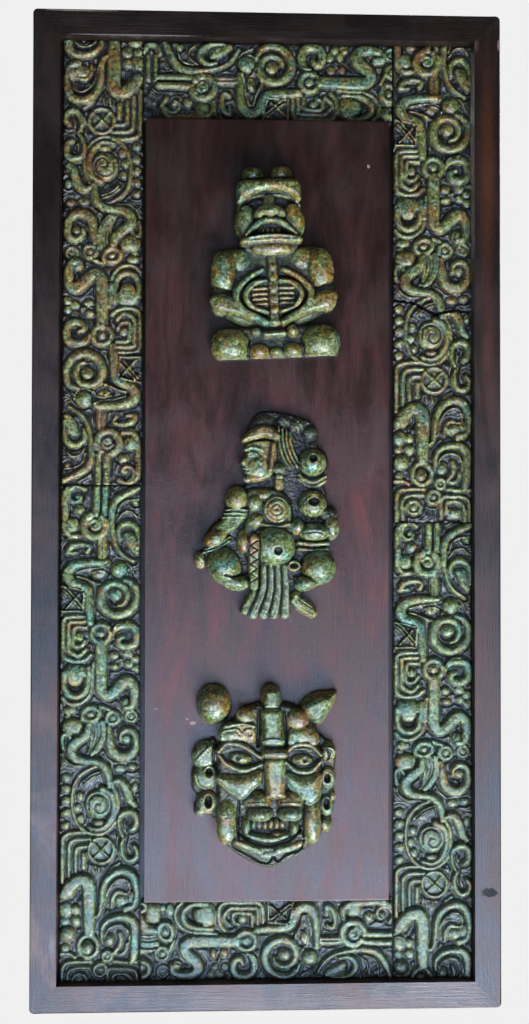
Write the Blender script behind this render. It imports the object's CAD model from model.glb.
"""Relief plaque: the visual model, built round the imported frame.

Object frame in metres: origin at the middle of the flat back, +Z up, the front faces -Y.
Sizes are in millimetres, face-on as in the part: x to the right, y up and z out of the wall.
"""
import math

import bmesh
import bpy
import numpy as np
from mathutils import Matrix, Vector


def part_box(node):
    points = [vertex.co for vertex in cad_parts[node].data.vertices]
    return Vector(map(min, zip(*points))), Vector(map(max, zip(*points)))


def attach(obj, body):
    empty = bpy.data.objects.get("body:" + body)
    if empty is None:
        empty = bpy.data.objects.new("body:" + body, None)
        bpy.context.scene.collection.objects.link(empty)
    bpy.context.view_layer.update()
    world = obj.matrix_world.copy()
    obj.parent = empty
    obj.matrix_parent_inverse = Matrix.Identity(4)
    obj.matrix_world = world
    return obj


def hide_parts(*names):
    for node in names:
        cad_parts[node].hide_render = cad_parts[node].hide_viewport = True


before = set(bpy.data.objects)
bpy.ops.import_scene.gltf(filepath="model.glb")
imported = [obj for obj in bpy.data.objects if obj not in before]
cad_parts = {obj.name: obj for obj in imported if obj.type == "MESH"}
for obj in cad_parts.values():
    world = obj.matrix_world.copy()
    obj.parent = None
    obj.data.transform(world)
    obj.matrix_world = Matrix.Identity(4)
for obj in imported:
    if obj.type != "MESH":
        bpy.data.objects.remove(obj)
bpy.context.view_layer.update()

MM = 0.001


def face_on(node):
    """A node's box in millimetres: left, right, bottom, top, back and front."""
    low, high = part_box(node)
    return [round(v / MM, 1) for v in (low[0], high[0], low[2], high[2], -high[1], -low[1])]


HALF_WIDTH = face_on("right_stile")[1]
HALF_HEIGHT = face_on("top_rail")[3]
FRAME_FRONT = face_on("top_rail")[5]
PANEL_FRONT = face_on("seated_figure")[4]


# ---------- lines and noise, in millimetres ----------

TINY = 1e-9
TURN_PER_POINT = 40                # degrees between the points of an arc
FULL_ARC = 340                     # an arc this long is closed smoothly by its own ends
NOISE_TABLE = 256
NOISE_SHIFT = (61.3, 47.7)         # keeps the lattice's own lines off the pattern's origin


def smooth_path(points, closed, step=0.8):
    """A smooth line through the points: each is (x, y, half width)."""
    knots = [np.array(p, float) for p in points]
    if len(knots) == 2 and not closed:
        return np.array(knots)
    if closed:
        knots = [knots[-1]] + knots + knots[:2]
    else:
        knots = [2 * knots[0] - knots[1]] + knots + [2 * knots[-1] - knots[-2]]
    path = []
    for a, b, c, d in zip(knots, knots[1:], knots[2:], knots[3:]):
        pieces = max(2, int(np.hypot(*(c - b)[:2]) / step))
        for t in np.arange(pieces) / pieces:
            path.append(0.5 * (2 * b + (c - a) * t + (2 * a - 5 * b + 4 * c - d) * t * t
                               + (3 * b - a - 3 * c + d) * t ** 3))
    path.append(knots[-2])
    return np.array(path)


def arc(x, y, radius, start, turn, half, end_radius=None, end_half=None, squash=1.0, tilt=0.0):
    """Points of an arc or a spiral, for a band. Angles are in degrees from +X towards +Y."""
    end_radius = radius if end_radius is None else end_radius
    end_half = half if end_half is None else end_half
    count = max(3, int(abs(turn) / TURN_PER_POINT) + 1)
    lean = math.radians(tilt)
    points = []
    for i in range(count + 1):
        share = i / count
        angle = math.radians(start + turn * share)
        reach = radius + (end_radius - radius) * share
        px, py = reach * math.cos(angle), reach * squash * math.sin(angle)
        points.append((x + px * math.cos(lean) - py * math.sin(lean),
                       y + px * math.sin(lean) + py * math.cos(lean),
                       half + (end_half - half) * share))
    return points


def circle(x, y, radius, half, squash=1.0, tilt=0.0):
    """Points all the way round, for a closed band."""
    return arc(x, y, radius, 0, FULL_ARC, half, squash=squash, tilt=tilt)


def beside(x, y, x0, y0, x1, y1):
    """How far along a straight line each place lies, from 0 to 1, and how far it is from the line."""
    dx, dy = x1 - x0, y1 - y0
    t = np.clip(((x - x0) * dx + (y - y0) * dy) / (dx * dx + dy * dy + TINY), 0, 1)
    return t, np.hypot(x - x0 - t * dx, y - y0 - t * dy)


def rounded(share):
    """A quarter round: steep at 0 and level at 1."""
    return np.sqrt(1 - (1 - share) ** 2)


def lattice_noise(x, y, size, seed):
    """Smooth noise from -1 to 1, with features about `size` across."""
    table = np.random.default_rng(seed).uniform(-1, 1, (NOISE_TABLE, NOISE_TABLE))
    gx, gy = x / size + NOISE_SHIFT[0], y / size + NOISE_SHIFT[1]
    ix, iy = np.floor(gx).astype(int), np.floor(gy).astype(int)
    fx, fy = gx - ix, gy - iy
    fx, fy = fx * fx * (3 - 2 * fx), fy * fy * (3 - 2 * fy)
    pick = lambda dx, dy: table[(iy + dy) % NOISE_TABLE, (ix + dx) % NOISE_TABLE]
    near = pick(0, 0) * (1 - fx) + pick(1, 0) * fx
    far = pick(0, 1) * (1 - fx) + pick(1, 1) * fx
    return near * (1 - fy) + far * fy


def grain(relief, *layers):
    """Noise over a relief, in layers of (amount, size, seed)."""
    return sum(amount * lattice_noise(relief.x, relief.y, size, seed) for amount, size, seed in layers)


def blurred(field, cells):
    """A field smoothed by three box blurs in each direction."""
    reach = max(1, int(round(cells)))
    for axis in (0, 1):
        for _ in range(3):
            pad = [(0, 0), (0, 0)]
            pad[axis] = (reach, reach)
            wide = np.cumsum(np.pad(field, pad, mode="edge"), axis=axis)
            zero = np.zeros_like(np.take(wide, [0], axis=axis))
            wide = np.concatenate([zero, wide], axis=axis)
            n = field.shape[axis]
            ahead = np.take(wide, np.arange(n) + 2 * reach + 1, axis=axis)
            behind = np.take(wide, np.arange(n), axis=axis)
            field = (ahead - behind) / (2 * reach + 1)
    return field


# ---------- height fields ----------

OUTSIDE = -9.0         # the depth inside a form, where no form is near
MARGIN = 3.0           # how far round a form its depth is measured
FAR = 99.0             # further than any distance that is measured
FILLET = 0.25          # how much a fillet lifts the line where two forms meet, as a share of the blend


class Relief:
    """Forms blended one by one into a height field over a rectangle."""

    def __init__(self, left, right, low, high, pitch, ground, swell=0.0, blend=0.4):
        """`swell` makes every band and dome fuller; `blend` is how softly one form runs into another."""
        self.pitch = pitch
        self.ground = ground
        self.swell = swell
        self.blend = blend
        columns = int(round((right - left) / pitch)) + 1
        rows = int(round((high - low) / pitch)) + 1
        self.x, self.y = np.meshgrid(np.linspace(left, right, columns), np.linspace(low, high, rows))
        self.height = np.full(self.x.shape, float(ground))
        self.inside = np.full(self.x.shape, OUTSIDE)
        self.warm = np.zeros(self.x.shape)
        self.dark = np.zeros(self.x.shape)

    def window(self, x, y, margin):
        """The part of the field within a margin of some places."""
        def stretch(values, first):
            start = max(0, int((min(values) - margin - first) / self.pitch))
            return slice(start, max(start, int((max(values) + margin - first) / self.pitch) + 2))
        return stretch(y, self.y[0, 0]), stretch(x, self.x[0, 0])

    def along(self, points, closed):
        """How deep each place lies inside a line of changing width."""
        path = smooth_path(points, closed)
        area = self.window(path[:, 0], path[:, 1], path[:, 2].max() + MARGIN)
        x, y = self.x[area], self.y[area]
        depth = np.full(x.shape, OUTSIDE)
        for (x0, y0, h0), (x1, y1, h1) in zip(path, path[1:]):
            t, gap = beside(x, y, x0, y0, x1, y1)
            depth = np.maximum(depth, h0 + t * (h1 - h0) - gap)
        return area, depth

    def within(self, cx, cy, rx, ry, tilt=0, power=2.0):
        """The share of the way from the middle of an oval to its edge, and the depth inside it."""
        area = self.window([cx], [cy], max(rx, ry) + MARGIN)
        lean = math.radians(tilt)
        dx, dy = self.x[area] - cx, self.y[area] - cy
        px = dx * math.cos(lean) + dy * math.sin(lean)
        py = -dx * math.sin(lean) + dy * math.cos(lean)
        share = (np.abs(px / rx) ** power + np.abs(py / ry) ** power) ** (1 / power)
        return area, share, (1 - share) * min(rx, ry)

    def enclosed(self, outline):
        """How deep each place lies inside a smooth closed outline through (x, y) points."""
        path = smooth_path([(x, y, 0.0) for x, y in outline], closed=True, step=1.2)
        area = self.window(path[:, 0], path[:, 1], MARGIN)
        x, y = self.x[area], self.y[area]
        gap = np.full(x.shape, FAR)
        odd = np.zeros(x.shape, bool)
        for (x0, y0, _), (x1, y1, _) in zip(path, path[1:]):
            gap = np.minimum(gap, beside(x, y, x0, y0, x1, y1)[1])
            if y1 != y0:
                crosses = (y0 > y) != (y1 > y)
                odd ^= crosses & (x < (x1 - x0) * (y - y0) / (y1 - y0) + x0)
        return area, np.where(odd, gap, -gap)

    def merge(self, area, top, depth, warm, dark):
        """Joins a form onto what is there, with a small fillet where they meet."""
        here = self.height[area]
        proud = depth > 0
        h = np.maximum(self.blend - np.abs(here - top), 0) / self.blend
        joined = np.maximum(here, top) + h * h * self.blend * FILLET
        weight = np.clip((top - here) / self.blend + 0.6, 0, 1) * proud
        self.height[area] = np.where(proud, joined, here)
        self.inside[area] = np.maximum(self.inside[area], depth)
        self.warm[area] += (warm - self.warm[area]) * weight
        self.dark[area] += (dark - self.dark[area]) * weight

    def band(self, points, rise, base=None, shoulder=2.2, crown=0.0, closed=False, warm=0.0, dark=0.0):
        """A raised band with rounded shoulders."""
        base = self.ground if base is None else base
        area, depth = self.along(points, closed)
        depth = depth + self.swell
        widest = max(p[2] for p in points) + self.swell
        share = np.clip(depth / min(shoulder, widest), 0, 1)
        top = base + rise * rounded(share) + crown * np.clip(depth / widest, 0, 1)
        self.merge(area, top, depth, warm, dark)

    def dome(self, cx, cy, rx, ry=None, *, rise, base=None, tilt=0, power=2.0, flat=2.0, warm=0.0,
             dark=0.0):
        """A rounded boss. A higher `flat` gives it a flatter top and steeper sides."""
        ry = rx if ry is None else ry
        base = self.ground if base is None else base
        area, share, depth = self.within(cx, cy, rx + self.swell, ry + self.swell, tilt, power)
        top = base + rise * np.sqrt(np.maximum(1 - np.clip(share, 0, 1) ** flat, 0))
        self.merge(area, top, depth, warm, dark)

    def pad(self, outline, rise, base=0.0, shoulder=3.0, warm=0.0, dark=0.0):
        """A slab with rounded edges inside a closed outline."""
        area, depth = self.enclosed(outline)
        top = base + rise * rounded(np.clip(depth / shoulder, 0, 1))
        self.merge(area, top, depth, warm, dark)

    def ridge(self, points, rise, closed=False, warm=None):
        """A fine line that stands on whatever is there."""
        area, depth = self.along(points, closed)
        widest = max(p[2] for p in points)
        self.height[area] += rise * rounded(np.clip(depth / widest, 0, 1))
        if warm is not None:
            self.warm[area] += (warm - self.warm[area]) * (depth > 0)

    def groove(self, points, depth, closed=False, dark=0.8):
        """A line cut into whatever is there."""
        area, inside = self.along(points, closed)
        widest = max(p[2] for p in points)
        share = np.clip(inside / widest, 0, 1)
        self.height[area] -= depth * rounded(share)
        self.dark[area] = np.maximum(self.dark[area], dark * share)

    def pit(self, cx, cy, rx, ry, depth, tilt=0, dark=0.8):
        """A round hollow in whatever is there."""
        area, share, _ = self.within(cx, cy, rx, ry, tilt)
        bowl = np.sqrt(np.maximum(1 - np.clip(share, 0, 1) ** 2, 0))
        self.height[area] -= depth * bowl
        self.dark[area] = np.maximum(self.dark[area], dark * bowl)

    def sink(self, outline, level, shoulder=1.0, dark=1.0):
        """A recess down to a level, inside a closed outline."""
        area, depth = self.enclosed(outline)
        share = np.clip(depth / shoulder, 0, 1)
        here = self.height[area]
        self.height[area] = here + (np.minimum(here, level) - here) * share
        self.dark[area] = np.maximum(self.dark[area], dark * share)

    def cut_below(self, y, shoulder=1.5):
        """Trims everything under a level line, with a rounded edge."""
        depth = self.y - y
        share = np.clip(depth / shoulder, 0, 1)
        self.height = self.ground + (self.height - self.ground) * rounded(share)
        self.inside = np.minimum(self.inside, depth)

    def tint(self, *spots):
        """Changes only the colour, softly, in ovals: each is (x, y, two half sizes, warmth)."""
        for cx, cy, rx, ry, warm in spots:
            area, share, _ = self.within(cx, cy, rx, ry)
            self.warm[area] += (warm - self.warm[area]) * np.clip(1.4 * (1 - share), 0, 1)


# ---------- the mould of the relief strips ----------
# x runs across the strip from its left edge, y down its length from its top.

STRIP_PITCH = 0.5      # millimetres between the points of a strip's mesh
STRIP_WIDTH = 50.0
BED = 4.3              # how thick a strip is under its ornament
HIGH = 4.0             # how far the main forms stand above the bed, and the others
EVEN = 3.3


def crest(m):
    """Scrolls, a boss and a beaked head."""
    m.band([(14.4, 2, 1.3), (9, -.6, 1.6), (3.4, 3, 2), (1.9, 10, 2.1), (2.4, 18, 2), (2.6, 26, 2.1),
            (6, 31.6, 1.7), (12, 31.4, 1.2)], EVEN, warm=.7)
    m.band(arc(10, 6.6, 6.2, 250, -230, 1.3, end_radius=2.4, end_half=1), EVEN, warm=.3)
    m.dome(10.6, 6.9, 1.9, rise=2.6)
    m.dome(11.6, 15.4, 3.2, 3, rise=2.6, warm=.6)
    m.dome(6.6, 25, 4.4, 4.4, rise=EVEN, power=3, flat=3)
    m.ridge([(3.4, 33.6, .6), (9, 34, .6), (13, 32, .6)], 1.6)
    m.band([(22.6, -3, 2), (22.3, 10, 2), (22, 18, 2.2)], EVEN, warm=.35)
    m.band([(27.6, -3, 1.9), (27.6, 10, 1.9), (27, 18, 2)], EVEN)
    m.groove([(25, -3, .6), (25.1, 17, .5)], 1.4)
    m.band(arc(21.4, 25.4, 6.9, -50, 300, 2.3, end_radius=7.1), HIGH, warm=.35)
    m.band(arc(21.6, 25.2, 3.6, 205, 330, 1.6, end_radius=2, end_half=1.2), EVEN)
    m.dome(21.8, 25.6, 2.1, rise=EVEN)
    m.band([(52, .2, 1.7), (44.7, 3.3, 2), (38.6, 6.3, 2.2), (33.6, 10.6, 2.2), (31.9, 17, 2.1),
            (31.8, 24, 1.9), (33, 31.5, 1.4), (35, 38, 1.2), (39, 43.5, 1.2), (45.6, 47.8, 1.1)], HIGH,
           warm=.35)
    m.ridge([(35.4, 18.4, .7), (37.4, 12.6, .7), (42, 9.6, .7), (49, 8.6, .7)], 2.2)
    m.ridge([(35.8, 22, .6), (39, 17.4, .6), (44, 16.4, .7), (47.8, 20, .7)], 2.2)
    m.dome(47, 10.6, 2, 1.8, rise=2.2)
    m.band([(37, 34, 1), (36.1, 29, 1.6), (38.4, 25, 1.9), (43, 23.6, 2.1), (47.3, 26.6, 1.9),
            (49, 32, 1.6), (48.8, 39, 1.2)], HIGH)
    m.dome(44.4, 33.4, 4.4, 3.6, rise=EVEN, tilt=40, warm=.15)
    m.band([(41.4, 31.4, 2), (44.6, 36, 3), (47.6, 42, 2)], EVEN)
    m.ridge([(38.6, 33, .5), (41, 37.4, .6), (45.4, 42.4, .5)], 1)
    m.band([(16.6, 41.6, 1.4), (17.8, 38.4, 1.2), (13, 37, 1.4), (7, 38.4, 2), (4.4, 42.4, 1.6),
            (9.4, 42.4, 1)], EVEN)


def serpent(m):
    """A serpent's neck and eye over a coil, beside a crossed panel."""
    m.band([(25.6, 33, 2.7), (26, 41, 2.9), (25.8, 48, 2.8)], EVEN, warm=.7)
    m.groove([(25.6, 35, .45), (25.8, 45, .45)], .9)
    m.band([(29, 48.6, 2.2), (22, 48.6, 2.3), (13, 49.4, 2.6), (6.8, 51.6, 3.1), (4.2, 56, 3.3),
            (6.8, 61, 3.1), (12.4, 63, 2.8), (16.4, 66, 2.8), (17.6, 72, 2.8), (17.8, 80, 2.7),
            (18.6, 86.6, 2.3)], HIGH, crown=.5)
    m.ridge([(9.8, 54.6, .6), (17, 52.6, .6), (26, 51.8, .6), (30.4, 50, .6)], 2.4, warm=.4)
    m.ridge([(9.8, 57.6, .7), (17, 59.4, .8), (22, 62, .9), (26, 62.2, .9), (30, 59.8, .8),
             (31.4, 56.8, .7)], 2.8)
    m.dome(24, 56.2, 4, 2.4, rise=1.8, tilt=-12, warm=.9)
    m.dome(22.8, 55.8, 2.2, 1.5, rise=2.6, tilt=-20, warm=1)
    m.ridge([(19, 55.4, .5), (23, 53.8, .5), (28.4, 54.6, .5), (30, 57.4, .5)], 1.6, warm=.6)
    m.dome(36.8, 53, 5, 5.2, rise=HIGH)
    m.ridge([(32.4, 58.2, .5), (37, 59.4, .5), (41.6, 57, .5), (42.8, 52.6, .5)], 2.6)
    m.ridge([(41.6, 48.6, .6), (44.4, 52, .6), (46.4, 57, .6)], 2.2)
    m.band([(40.2, 59.4, 1.4), (45, 61.6, 2), (48, 67, 2.3), (47.4, 73.6, 2.5), (43.4, 79, 2.6),
            (36.6, 81.8, 2.6), (29.6, 79.6, 2.6), (25.6, 74, 2.6), (25.6, 67.4, 2.6), (29.4, 62.8, 2.4),
            (35.4, 61.8, 2.1), (40, 64.4, 1.9), (41.8, 69.4, 1.8), (39.8, 74.6, 1.4), (36.4, 76, 1)], HIGH,
           crown=.4, warm=.2)
    m.ridge([(43.4, 62, .5), (44.6, 68.4, .5), (42.8, 74.6, .5), (38.4, 78.2, .5), (33, 78, .5)], 1)
    m.dome(34.6, 69, 3.9, 4, rise=EVEN + .3, warm=.2)
    m.groove([(30.4, 71.4, .7), (32, 74.6, .8), (35.4, 74.4, .7)], 1.2)
    for x0, y0, x1, y1, half in ((.8, 63.4, 13, 66.4, .85), (14, 68, 14, 79.6, .85),
                                 (.8, 79.4, 13.6, 79.8, .85), (2.4, 66, 11.8, 77.4, .8),
                                 (4.6, 65.4, 13.2, 75.4, .75), (12, 68.4, 3.6, 77.6, .8)):
        m.ridge([(x0, y0, half), (x1, y1, half)], 2.7)


def nested(m):
    """Nested square bands, a ring and a curl, with beads below."""
    for inset, rise in ((0, 2.6), (3.4, 2.9)):
        m.band([(18.6 - inset, 82.6 + inset, 1.2), (6, 83 + inset, 1.3), (1.6 + inset, 86 + inset, 1.3),
                (1.5 + inset, 96, 1.3), (1.7 + inset, 107 - inset, 1.3), (6 + inset, 110.6 - inset, 1.3),
                (14 - inset * .4, 110.4 - inset, 1.3), (19 - inset, 107 - inset, 1.2)], rise, warm=.4)
    m.band([(16, 89.6, 1.1), (9.4, 89.8, 1.2), (8, 94, 1.2), (8.2, 101, 1.2), (13, 101.4, 1.1),
            (15.4, 98, 1)], 2.8, warm=.3)
    m.dome(11.6, 95.8, 2.4, 2.8, rise=2.8)
    m.band(arc(25.4, 93.4, 5.7, 0, 350, 1.8), HIGH)
    m.groove(arc(25.4, 93.4, 3.7, 30, 330, .5), .9)
    m.dome(25.4, 93.4, 3.6, rise=EVEN + .3)
    m.groove([(22.6, 93.4, .5), (24, 96, .55), (27, 96.2, .5), (28.2, 93, .5), (26.6, 91.2, .4)], 1.1)
    m.band([(33, 93.6, 1), (35.4, 90, 1.9), (40, 88.4, 2.3), (45.4, 89, 2.6), (47.9, 93.4, 2.7),
            (47.2, 99, 2.7), (42.6, 101.6, 2.6), (38, 100.6, 2.3), (36.6, 97.4, 1.9), (39.8, 95.6, 1.4)],
           HIGH, crown=.4)
    m.ridge([(34, 96.6, .5), (33.2, 91, .5), (37, 86.6, .5), (43, 85.6, .5)], 1.8)
    m.dome(33.4, 107.2, 2.9, 2.4, rise=2.6, warm=.7)
    m.dome(33.8, 114.2, 3.1, 2, rise=2.6, warm=.8)
    m.ridge([(32, 110.6, .5), (34.6, 111.6, .5), (36.8, 109.8, .5)], 1.4)
    for x, y in ((42.6, 106.6), (42.8, 113), (47.2, 109.6), (47.4, 115.6)):
        m.dome(x, y, 2.7, 2.4, rise=1.7)


def hook(m):
    """A thick hooked neck round a square boss, and a pair of rings."""
    m.band([(25.6, 100, 3.6), (25.4, 112, 3.8), (25.2, 122, 4), (25.8, 129, 3.8), (29.4, 132.6, 3.4),
            (34, 130, 3.5), (38, 125.6, 3.6), (42.6, 123.4, 3.6), (46.2, 127, 3.2), (46.6, 134, 2.8),
            (44.6, 139.4, 2.4), (40.6, 140.2, 2)], HIGH, crown=.5)
    m.dome(40.4, 137.4, 3, 3.6, rise=EVEN + .5)
    m.groove([(42.4, 131.6, .7), (40.2, 134, .6), (38.6, 137.4, .4)], 1)
    m.band([(21, 112, 1.2), (20, 118, 1.8), (19.8, 126, 1.5)], EVEN)
    m.dome(9.2, 119.6, 7.6, 7, rise=EVEN + .6, power=2.5, flat=3)
    m.groove([(3, 120.6, 1), (4.8, 126.4, 1.5), (8.6, 129.2, 1.6), (13, 127, 1.3), (15, 121.6, .8)], 3,
             dark=1)
    m.band([(2.4, 119, 2.2), (2.2, 126, 1.8), (4.6, 131.4, 1.8), (9.4, 133.4, 1.8), (14.6, 131, 1.8),
            (17, 125, 1.7), (17.6, 115, 1.5)], EVEN)
    m.band([(1.2, 134, 1), (5, 137.4, 1), (11, 138, 1.1), (16.6, 134.6, 1.1), (19.8, 128.6, 1)], 2.6)
    m.band(circle(19.2, 144.3, 5.4, 1.7, squash=.78, tilt=-15), EVEN + .4, closed=True)
    m.dome(19.2, 144.3, 3.1, 2.2, rise=EVEN, tilt=-15)
    m.band([(25.2, 139.2, 1.1), (28.4, 140.6, 1.3), (31, 141.6, 1.1)], EVEN)
    m.band(circle(32.9, 146.6, 4, 1.1), EVEN, closed=True)
    m.dome(32.9, 146.6, 2.4, rise=EVEN)
    m.ridge(arc(33, 146.6, 3, 60, 200, .4), .7)
    m.dome(6, 142, 3.9, 2.6, rise=2.4)
    m.dome(4.6, 146, 2, 1.3, rise=1.6)
    m.band(circle(44.6, 145.8, 3.4, .8), 1.8, closed=True)
    m.dome(44.6, 145.8, 1.8, rise=1.6)


def twist(m):
    """A twisting stem with fine lines beside it, and a curl."""
    m.dome(7.6, 152.2, 6.4, 5, rise=EVEN + .3, power=2.6, flat=3, warm=.3)
    m.band([(1.8, 166, 1), (1, 160, 1.2), (3, 156.6, 1.3), (6, 158.4, 1.3), (6.4, 163, 1)], 2.8)
    m.ridge([(1.6, 168, .6), (3, 172.4, .6), (8, 176.4, .6), (15, 177, .6), (22, 177.6, .6)], 1.9)
    m.band([(18.4, 151, 2.4), (17, 156.4, 2.9), (12.6, 160, 3.1), (8.2, 163.6, 3.2), (7.4, 168.4, 3.1),
            (10.6, 172.2, 2.8), (16.4, 173.4, 2.4), (22.6, 174.2, 2.4), (27.6, 177.4, 2.5),
            (30.2, 182.6, 2.4), (31.2, 189, 1.8)], HIGH, crown=.4, warm=.15)
    for shift, half, rise in ((0, 1.6, 3.2), (-2.9, .6, 2.2), (-4.9, .55, 2), (-6.9, .5, 1.8)):
        m.band([(26.6 + shift, 149.6, half), (27.4 + shift, 155.6, half), (26.2 + shift * .95, 161, half),
                (22.6 + shift * .6, 167, half * .9), (19.8 + shift * .5, 169.6, half * .7)], rise,
               shoulder=.9)
    m.band([(30.2, 152, 1.2), (31, 160, 2.6), (32.4, 166.4, 3), (36.8, 170.6, 3.1), (42.4, 170.6, 2.9),
            (46.6, 166.6, 2.6), (47.8, 160.6, 2.3), (46, 155.8, 2.2), (41.6, 154.4, 2.1),
            (38.2, 156.8, 1.8), (37.8, 160.6, 1.4)], HIGH, crown=.4, warm=.55)
    m.dome(41.4, 159.8, 3, 3.2, rise=EVEN + .3)
    m.groove(arc(41.8, 160, 3, 120, 220, .5), 1)
    m.ridge([(38.6, 164.6, .6), (43, 164.8, .6), (45.6, 161, .5)], 1)
    m.dome(37.4, 178.6, 3.4, 2.4, rise=2.4, warm=.4)
    m.dome(45.4, 177.6, 3, 2.2, rise=2.4, warm=.5)
    m.ridge([(34, 175.6, .5), (40, 175, .5), (48, 174, .5)], 1.6)
    m.band([(24.4, 176.8, 1), (18.6, 179, 1.1), (12.6, 183, 1.1), (9, 188.6, 1.1), (7.6, 196, 1.1),
            (7.8, 204, 1.1), (10.4, 212, 1.1), (15.4, 217.6, 1.1), (22, 220, 1.1), (29, 218.4, 1.1),
            (34.6, 212.6, 1.1), (36.6, 204, 1.2), (36, 196, 1.2), (32.6, 189, 1)], 2.7, warm=.75)
    for shift in (2.2, 4.2):
        m.ridge([(26, 178 + shift, .5), (20, 180.4 + shift, .5), (14.6, 184.6 + shift, .5)], 1.7)


def oval(m):
    """A large boss inside a curved band, with beads down the edge."""
    m.dome(24, 201.2, 8.3, 8.9, rise=HIGH + .2, flat=2.8)
    m.groove([(18.2, 204, .6), (18.6, 197.6, .7), (24, 194.8, .7), (29.2, 197.8, .7), (29.6, 203.4, .7),
              (25.4, 206.4, .6), (22.2, 203.8, .6), (23, 200.6, .5), (25.8, 200.6, .4)], 1.5, dark=.8)
    m.band([(26.6, 191.4, 2), (32, 194.8, 2.2), (34, 201, 2.1), (33, 208, 2), (29.6, 213.6, 1.8),
            (24.4, 216.6, 1.4), (18.4, 215.4, 1.2)], HIGH - .2, warm=.3)
    m.dome(24.2, 212.6, 3.7, 1.9, rise=EVEN + .2, warm=1)
    for x, y in ((12.2, 196), (11, 203.4), (13, 210)):
        m.dome(x, y, 2, 2.6, rise=2.2, warm=.15)
    for y, rise in ((184.4, 1.8), (191.4, 2.2), (198.8, 2.3), (206.4, 2.3), (214.4, 2.3)):
        m.dome(3.6, y, 2.7, 2.5, rise=rise, warm=.35)
    m.band([(32.4, 187.6, 1.4), (36.4, 186.4, 2.3), (39.8, 188.2, 2.7), (42.2, 193, 2.7),
            (43.9, 198.4, 2.5), (46.8, 201.6, 1.9)], HIGH, crown=.3)
    m.dome(47, 190.4, 2, 2.6, rise=1.8)
    m.band([(39.4, 221, .9), (37.2, 215.6, 1.2), (37.2, 209.6, 1.6), (40.4, 206.4, 2), (45, 206, 2.3),
            (48, 209.4, 2.3), (47.8, 214.6, 2.2), (45, 217, 1.8)], HIGH, crown=.2)
    m.groove([(41.6, 210.6, .8), (42.8, 213, .9), (41.8, 217.4, .8)], 1.2)
    m.band([(40.6, 222, .9), (38.8, 226, 1.3), (39.2, 232, 1.7), (42.6, 236.2, 1.8), (47, 235.4, 1.9),
            (48.8, 231, 1.8), (46.8, 227.6, 1.5)], HIGH)
    m.ridge([(36.4, 221, .5), (36, 227, .5), (37, 233, .5)], 1.8)


def wheel(m):
    """A crossed wheel beside square bands."""
    m.band(circle(26, 230, 7.9, 1.0), 3.0, closed=True, warm=.4)
    m.dome(26, 230, 7, rise=1.5)
    m.ridge([(21, 225.6, .9), (31, 234.8, .9)], 1.5)
    m.ridge([(30.6, 225.4, .8), (21.6, 234.6, .8)], 1.3)
    m.dome(26, 230, 1.6, rise=3)
    m.band([(19, 218.6, 1.1), (8, 219, 1.2), (2.6, 221.4, 1.3), (1.6, 228, 1.3), (1.6, 250, 1.2)], 2.8,
           warm=.5)
    m.band([(19, 223, 1.1), (10, 223.4, 1.2), (6.4, 226, 1.2), (5.8, 232, 1.2), (5.8, 246, 1.1)], 2.8)
    m.band([(17.4, 227.6, 1.1), (12, 228.2, 1.2), (10, 231.6, 1.2), (10, 243, 1.1)], 2.8, warm=.4)
    m.band([(15, 232.6, 1.5), (14.8, 241, 1.3)], 2.6, warm=.9)
    for x in (20.4, 24.2):
        m.ridge([(x, 240, .8), (x + .8, 244.6, .6)], 1.8)
    m.band([(30, 246, .9), (33, 241.4, 1), (37.4, 238.4, 1)], 1.8)


def bent(m):
    """A bent neck with an eye, and a tall curl round two bosses."""
    m.band([(2.8, 257.6, 3.2), (6.2, 252.8, 3.9), (11.4, 248.8, 3.9), (16, 249, 4), (18.4, 254, 4.2),
            (18.4, 263, 4.1), (18.4, 272, 3.9), (18.6, 281, 3.3)], HIGH, crown=.5)
    m.pit(11.2, 259.6, 2.6, 4.8, 2.2, tilt=25)
    m.dome(5.4, 256.4, 4.4, 3.8, rise=HIGH, tilt=-40)
    m.dome(3.6, 267.4, 4, 4.4, rise=2)
    m.dome(9.8, 267.4, 2.9, 2.8, rise=2.3)
    m.dome(10.2, 274.4, 3.2, 3.4, rise=2.6)
    m.dome(3.2, 274.6, 2.6, 2.6, rise=1.8)
    m.band([(22.8, 271.6, 1), (25.2, 269, 1.5), (26.4, 262.6, 2), (27, 254.6, 2.1), (29.6, 248.4, 2.2),
            (34.6, 244.2, 2.4), (40.4, 243, 2.5), (45.4, 245.6, 2.5), (47.8, 251.6, 2.4), (48.2, 259, 2.1),
            (46, 264.6, 2.2), (41.4, 266.6, 2.4)], HIGH, crown=.4)
    m.ridge([(27.4, 266, .6), (29.4, 260.6, .6), (30.4, 255.4, .6), (33.4, 251, .6), (38, 248.2, .6),
             (42.6, 249.6, .6), (44.4, 253.6, .7), (42.8, 257, .7), (39.4, 257.4, .7)], 2.2, warm=.55)
    m.band([(32.6, 266, .8), (33.2, 260.4, 1.1), (35.8, 256.6, 1.2), (39, 256.8, 1.1)], 2.4, warm=.8)
    m.dome(38.8, 261.6, 5.2, 4, rise=EVEN, warm=.5)
    m.dome(45.6, 261, 4, 5.4, rise=EVEN)


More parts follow.
